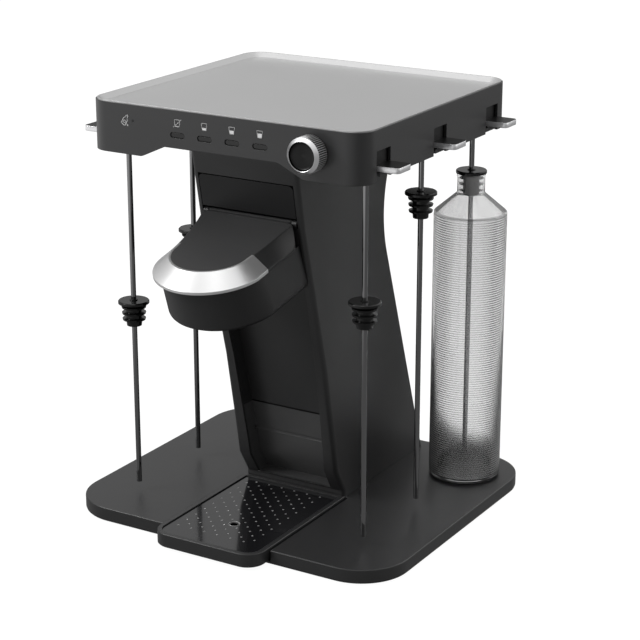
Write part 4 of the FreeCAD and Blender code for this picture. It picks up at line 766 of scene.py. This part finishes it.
class DISPENSER_OT_add_carafe(bpy.types.Operator):
    """Blow the clear carafe with its stack of fine ribs"""
    bl_idname = "dispenser.add_carafe"
    bl_label = "Add Carafe"

    def rib_stack(self, centre, start, count, radius):
        """The ribbed skin: one rib turned, then stacked."""
        depth, pitch = sizes().rib_depth, sizes().rib_pitch
        swell = ((0, 1), (0.22, 0.35), (0.5, 0), (0.78, 0.35), (1, 1))
        rib = lathe([(start + pitch * rise, radius - depth * dip) for rise, dip in swell],
                    centre, "Z", CARAFE_SEGMENTS)
        stack = rib.modifiers.new("stack", "ARRAY")
        stack.use_relative_offset = False
        stack.use_constant_offset = True
        stack.constant_offset_displace = (0, 0, pitch)
        stack.count = count
        stack.use_merge_vertices = True
        stack.merge_threshold = 0.01 * MM
        select_only(rib)
        bpy.ops.object.modifier_apply(modifier="stack")
        return rib

    def closed_skin(self, profile, centre):
        """A turned skin whose last ring is drawn together into a point."""
        skin = lathe(profile, centre, "Z", CARAFE_SEGMENTS)
        last = profile[-1][0]
        edit_pick(skin, lambda vertex: abs(vertex.co.z - last) < 1e-6)
        bpy.ops.mesh.merge(type="CENTER")
        leave_edit()
        return skin

    def cone(self, shoulder, neck_z, radius, neck):
        """Rings of the sloping shoulder, each second one dipped into a fine rib."""
        count, dip = 14, sizes().rib_depth * 0.5
        rings = []
        for number in range(count + 1):
            share = number / count
            place = shoulder + 2.5 * MM + share * (neck_z - shoulder - 3 * MM)
            reach = (radius - 2.8 * MM) + share * (neck - radius + 2.8 * MM)
            rings.append((place, reach - (dip if number % 2 else 0)))
        return rings

    def execute(self, context):
        low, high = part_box("water_carafe")
        centre = Vector(((low.x + high.x) / 2, (low.y + high.y) / 2, 0))
        radius = (high.x - low.x) / 2
        depth, pitch = sizes().rib_depth, sizes().rib_pitch
        floor, mouth = low.z, high.z
        shoulder, neck_z = mouth - SHOULDER_DROP, mouth - 21.8 * MM
        neck, bore, inner = 15.7 * MM, 14.3 * MM, radius - 2.2 * MM
        count = int((shoulder - floor - 8 * MM) / pitch)
        rib_start = shoulder - count * pitch - 2 * MM
        ribs = self.rib_stack(centre, rib_start, count, radius)
        foot = self.closed_skin(
            [(rib_start, radius - depth), (floor + 4 * MM, radius - depth),
             (floor + 1.6 * MM, radius - 0.9 * MM), (floor + 0.5 * MM, radius - 2 * MM),
             (floor, radius - 4 * MM), (floor, 12 * MM), (floor + 0.6 * MM, 8 * MM)], centre)
        outside = [(rib_start + count * pitch, radius - depth), (shoulder, radius - 0.3 * MM),
                   (shoulder + 1.6 * MM, radius - 1.6 * MM)]
        outside += self.cone(shoulder, neck_z, radius, neck)
        lip = [(neck_z + 1.5 * MM, neck), (mouth - 4.2 * MM, neck),
               (mouth - 3.6 * MM, neck + 0.6 * MM), (mouth - 0.6 * MM, neck + 0.7 * MM),
               (mouth, neck), (mouth, bore + 0.5 * MM), (mouth - 0.5 * MM, bore)]
        inside = [(neck_z - 0.3 * MM, bore), (shoulder - 0.2 * MM, inner - 0.5 * MM),
                  (shoulder - 2 * MM, inner), (floor + 7 * MM, inner),
                  (floor + 4.4 * MM, inner - 1.4 * MM), (floor + 3.4 * MM, inner - 4 * MM),
                  (floor + 3.0 * MM, 8 * MM)]
        wall = self.closed_skin(outside + lip + inside, centre)
        carafe = join_all([ribs, foot, wall])
        tidy_mesh(carafe, merge=0.02 * MM, angle=50)
        dress(carafe, "ribbed_carafe", bpy.data.materials["carafe_wall"],
              "bottle_tube_right_rear")
        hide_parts("water_carafe")
        return {"FINISHED"}


class DISPENSER_OT_add_plate_rims(bpy.types.Operator):
    """Set satin silver rims in the drain holes and in the finger hole of the drip plate, as painted
    glints of the light their walls catch
    """
    bl_idname = "dispenser.add_plate_rims"
    bl_label = "Add Plate Rims"

    def drain_rim_glints(self, centre, top):
        """The rims of both staggered sets of drain holes, clear of the finger hole."""
        pitch, across, back = 17.2 * MM, 6, 9
        corner = Vector((-3 * pitch, centre.y - 34 * MM, 0))
        stagger = Vector((pitch / 2, pitch / 2, 0))
        profile = [(top - 0.5 * MM, 1.1 * MM), (top + 0.04 * MM, 1.1 * MM),
                   (top + 0.05 * MM, 0.8 * MM), (top - 0.5 * MM, 0.7 * MM)]
        rims = join_all([lathe(profile, place, "Z", 12) for place in (corner, corner + stagger)])
        for axis, count in ((0, across), (1, back)):
            row = rims.modifiers.new(f"row_{axis}", "ARRAY")
            row.use_relative_offset = False
            row.use_constant_offset = True
            row.constant_offset_displace = [pitch if step == axis else 0 for step in range(3)]
            row.count = count
            bpy.ops.object.modifier_apply(modifier=row.name)
        edit_pick(rims, lambda vertex: (vertex.co.xy - centre.xy).length < 8.5 * MM)
        bpy.ops.mesh.delete(type="VERT")
        leave_edit()
        tidy_mesh(rims)
        return rims

    def finger_rim_glint(self, centre, top):
        """A closed ring with a rounded crest, let into the finger hole."""
        outer, crest, inner = 6.45 * MM, 6.1 * MM, 5.75 * MM
        rim = lathe([(top - 1.8 * MM, outer), (top + 0.1 * MM, outer), (top + 0.28 * MM, crest),
                     (top + 0.1 * MM, inner), (top - 1.8 * MM, inner)], centre, "Z", 48)
        edit_pick(rim, lambda edge: len(edge.link_faces) == 1, "EDGE")
        bpy.ops.mesh.bridge_edge_loops()
        leave_edit()
        tidy_mesh(rim)
        return rim

    def execute(self, context):
        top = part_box("drip_plate")[1].z
        centre = Vector((0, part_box("drip_tray")[0].y + 65.5 * MM, 0))
        # Painted glints: the silver rims stand in for the light caught by the walls of the holes.
        satin = bpy.data.materials["silver_paint"]
        dress(self.drain_rim_glints(centre, top), "drain_rim_glints", satin, "drip_plate")
        dress(self.finger_rim_glint(centre, top), "finger_rim_glint", satin, "drip_plate")
        return {"FINISHED"}


class DISPENSER_OT_add_joint_shade(bpy.types.Operator):
    """Lay a black strip in the joint between the cavity's upper and lower panels, painted shade for
    the dark gap there
    """
    bl_idname = "dispenser.add_cavity_seal"
    bl_label = "Add Joint Shade"

    def execute(self, context):
        joint = (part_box("splash_panel")[1].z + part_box("cavity_upper_panel")[0].z) / 2
        bpy.ops.object.select_all(action="DESELECT")
        bpy.ops.mesh.primitive_cube_add(size=1, location=(0, 1.4 * MM, joint + 0.1 * MM),
                                        scale=(103.4 * MM, 1.8 * MM, 1.8 * MM))
        shade_strip = bpy.context.object
        settle(shade_strip)
        soft = shade_strip.modifiers.new("soft", "BEVEL")
        soft.width = 0.4 * MM
        soft.segments = 3
        bpy.ops.object.modifier_apply(modifier="soft")
        tidy_mesh(shade_strip)
        # Painted shade: a black strip standing for the shade in the joint.
        dull = moulded("joint_shade_black", (0.002, 0.002, 0.002), roughness=0.6, pit_height=0.002,
                       specular=0.1)
        dress(shade_strip, "cavity_joint_shade", dull, "machine")
        return {"FINISHED"}


class DISPENSER_OT_set_stage(bpy.types.Operator):
    """Lay the floor, hang the lamps and place the camera"""
    bl_idname = "dispenser.set_stage"
    bl_label = "Set the Stage"

    def lay_floor(self):
        """A pale floor, white to the eye and through the carafe; in the machine's gloss it shows a
        painted shade near the machine that brightens towards the front left.
        """
        bpy.ops.object.select_all(action="DESELECT")
        bpy.ops.mesh.primitive_plane_add(size=30, location=(0, 0, -0.2 * MM))
        floor = bpy.context.object
        floor.name = "pale_floor"
        material, shader = new_material("pale_floor")
        shader.inputs["Base Color"].default_value = (0.3, 0.3, 0.3, 1)
        shader.inputs["Roughness"].default_value = 0.7
        tree = material.node_tree
        nodes, link, maths = tree.nodes, tree.links.new, sums(tree)
        path, place = nodes.new("ShaderNodeLightPath").outputs, nodes.new("ShaderNodeTexCoord")
        glow, painted_reflected_pool = nodes.new("ShaderNodeEmission"), nodes.new("ShaderNodeEmission")
        white, mirrored = nodes.new("ShaderNodeMixShader"), nodes.new("ShaderNodeMixShader")
        # Painted shade for reflections only: dark near the machine, brighter towards the front
        # left.
        ahead = along(tree, place.outputs["Object"], (-0.65, -0.76, 0))
        link(ramp(tree, ahead, 0.45, 1.35, 0.30, 1.1), painted_reflected_pool.inputs["Strength"])
        link(maths("MULTIPLY_ADD", path["Is Transmission Ray"], 0.2, 1.38),
             glow.inputs["Strength"])
        seen = maths("MAXIMUM", path["Is Camera Ray"], path["Is Transmission Ray"])
        link(maths("MULTIPLY", seen, 0.7), white.inputs[0])
        link(shader.outputs[0], white.inputs[1])
        link(glow.outputs[0], white.inputs[2])
        bounced = maths("SUBTRACT", path["Is Glossy Ray"], path["Is Transmission Ray"])
        link(maths("MAXIMUM", bounced, 0.0), mirrored.inputs[0])
        link(white.outputs[0], mirrored.inputs[1])
        link(painted_reflected_pool.outputs[0], mirrored.inputs[2])
        link(mirrored.outputs[0], nodes["Material Output"].inputs["Surface"])
        floor.data.materials.append(material)

    def light_world(self, scene):
        """A white surround that lights and mirrors as a studio, bright overhead and to one side."""
        scene.world = bpy.data.worlds.new("studio")
        scene.world.use_nodes = True
        tree = scene.world.node_tree
        nodes, link, maths = tree.nodes, tree.links.new, sums(tree)
        path, heading = nodes.new("ShaderNodeLightPath").outputs, nodes.new("ShaderNodeTexCoord")
        height = parts_of(tree, heading.outputs["Generated"])["Z"]
        screen = ramp(tree, along(tree, heading.outputs["Generated"], (0.8, 0.6, 0)), 0.35, 1.0)
        studio = nodes.new("ShaderNodeMix")
        link(path["Is Glossy Ray"], studio.inputs["Factor"])
        link(ramp(tree, height, 0.0, 1.0, 0.13, 0.95), studio.inputs["A"])
        link(maths("ADD", ramp(tree, height, 0.0, 1.0, 0.24, 1.12), screen), studio.inputs["B"])
        seen = maths("MAXIMUM", path["Is Camera Ray"],
                     maths("MULTIPLY", path["Is Transmission Ray"], 1.15))
        sky = nodes["Background"]
        sky.inputs["Color"].default_value = (1, 1, 1, 1)
        link(maths("MAXIMUM", studio.outputs["Result"], seen), sky.inputs["Strength"])

    def hang_lamp(self, name, place, size, power):
        """A soft square lamp aimed at the middle of the machine."""
        bpy.ops.object.light_add(type="AREA", location=place)
        lamp = bpy.context.object
        lamp.name = name
        lamp.data.shape = "RECTANGLE"
        lamp.data.size, lamp.data.size_y = size
        lamp.data.energy = power
        lamp.rotation_mode = "QUATERNION"
        heart = Vector((0, 0, 0.25))
        lamp.rotation_quaternion = (heart - Vector(place)).to_track_quat("-Z", "Y")

    def place_camera(self, scene):
        """A long lens from the front right, a little above."""
        bpy.ops.object.camera_add(location=(1.0936, -1.75583, 0.9011))
        camera = bpy.context.object
        azimuth, elevation = math.radians(30.969), math.radians(18.613)
        camera.rotation_euler = (math.pi / 2 - elevation, 0, azimuth)
        camera.data.sensor_width = 36
        camera.data.lens = 109.07
        camera.data.shift_y = 0.0245
        camera.data.clip_end = 100
        scene.camera = camera

    def execute(self, context):
        self.lay_floor()
        self.light_world(context.scene)
        self.hang_lamp("key_box", (-1.8, -1.5, 1.8), (1.1, 1.1), 48)
        self.hang_lamp("top_box", (-0.4, 0.1, 2.6), (2.2, 2.2), 15)
        self.hang_lamp("right_box", (2.0, 1.5, 0.9), (0.5, 1.6), 6)
        self.place_camera(context.scene)
        context.scene.view_settings.view_transform = "Standard"
        return {"FINISHED"}


class DISPENSER_PT_panel(bpy.types.Panel):
    """Lists the pieces in the order they are made."""
    bl_label = "Cocktail Dispenser"
    bl_idname = "DISPENSER_PT_panel"
    bl_space_type = "VIEW_3D"
    bl_region_type = "UI"
    bl_category = "Dispenser"

    def draw(self, context):
        for operator in STEPS:
            self.layout.operator(operator.bl_idname)


STEPS = (DISPENSER_OT_finish_mouldings, DISPENSER_OT_add_mix_ring, DISPENSER_OT_add_lever_trims,
         DISPENSER_OT_add_icons, DISPENSER_OT_add_carafe, DISPENSER_OT_add_plate_rims,
         DISPENSER_OT_add_joint_shade, DISPENSER_OT_set_stage)
CLASSES = (DispenserSizes, DispenserColours) + STEPS + (DISPENSER_PT_panel,)


def register():
    """Add the settings, operators and panel."""
    for item in CLASSES:
        bpy.utils.register_class(item)
    bpy.types.Scene.dispenser_sizes = bpy.props.PointerProperty(type=DispenserSizes)
    bpy.types.Scene.dispenser_colours = bpy.props.PointerProperty(type=DispenserColours)


def unregister():
    """Take them away again."""
    del bpy.types.Scene.dispenser_colours
    del bpy.types.Scene.dispenser_sizes
    for item in reversed(CLASSES):
        bpy.utils.unregister_class(item)


def main():
    """Run every step, and stop with an error if one does not finish."""
    register()
    for operator in STEPS:
        group, name = operator.bl_idname.split(".")
        result = getattr(getattr(bpy.ops, group), name)()
        if "FINISHED" not in result:
            raise RuntimeError(f"{operator.bl_label} did not finish")


if __name__ == "__main__":
    main()
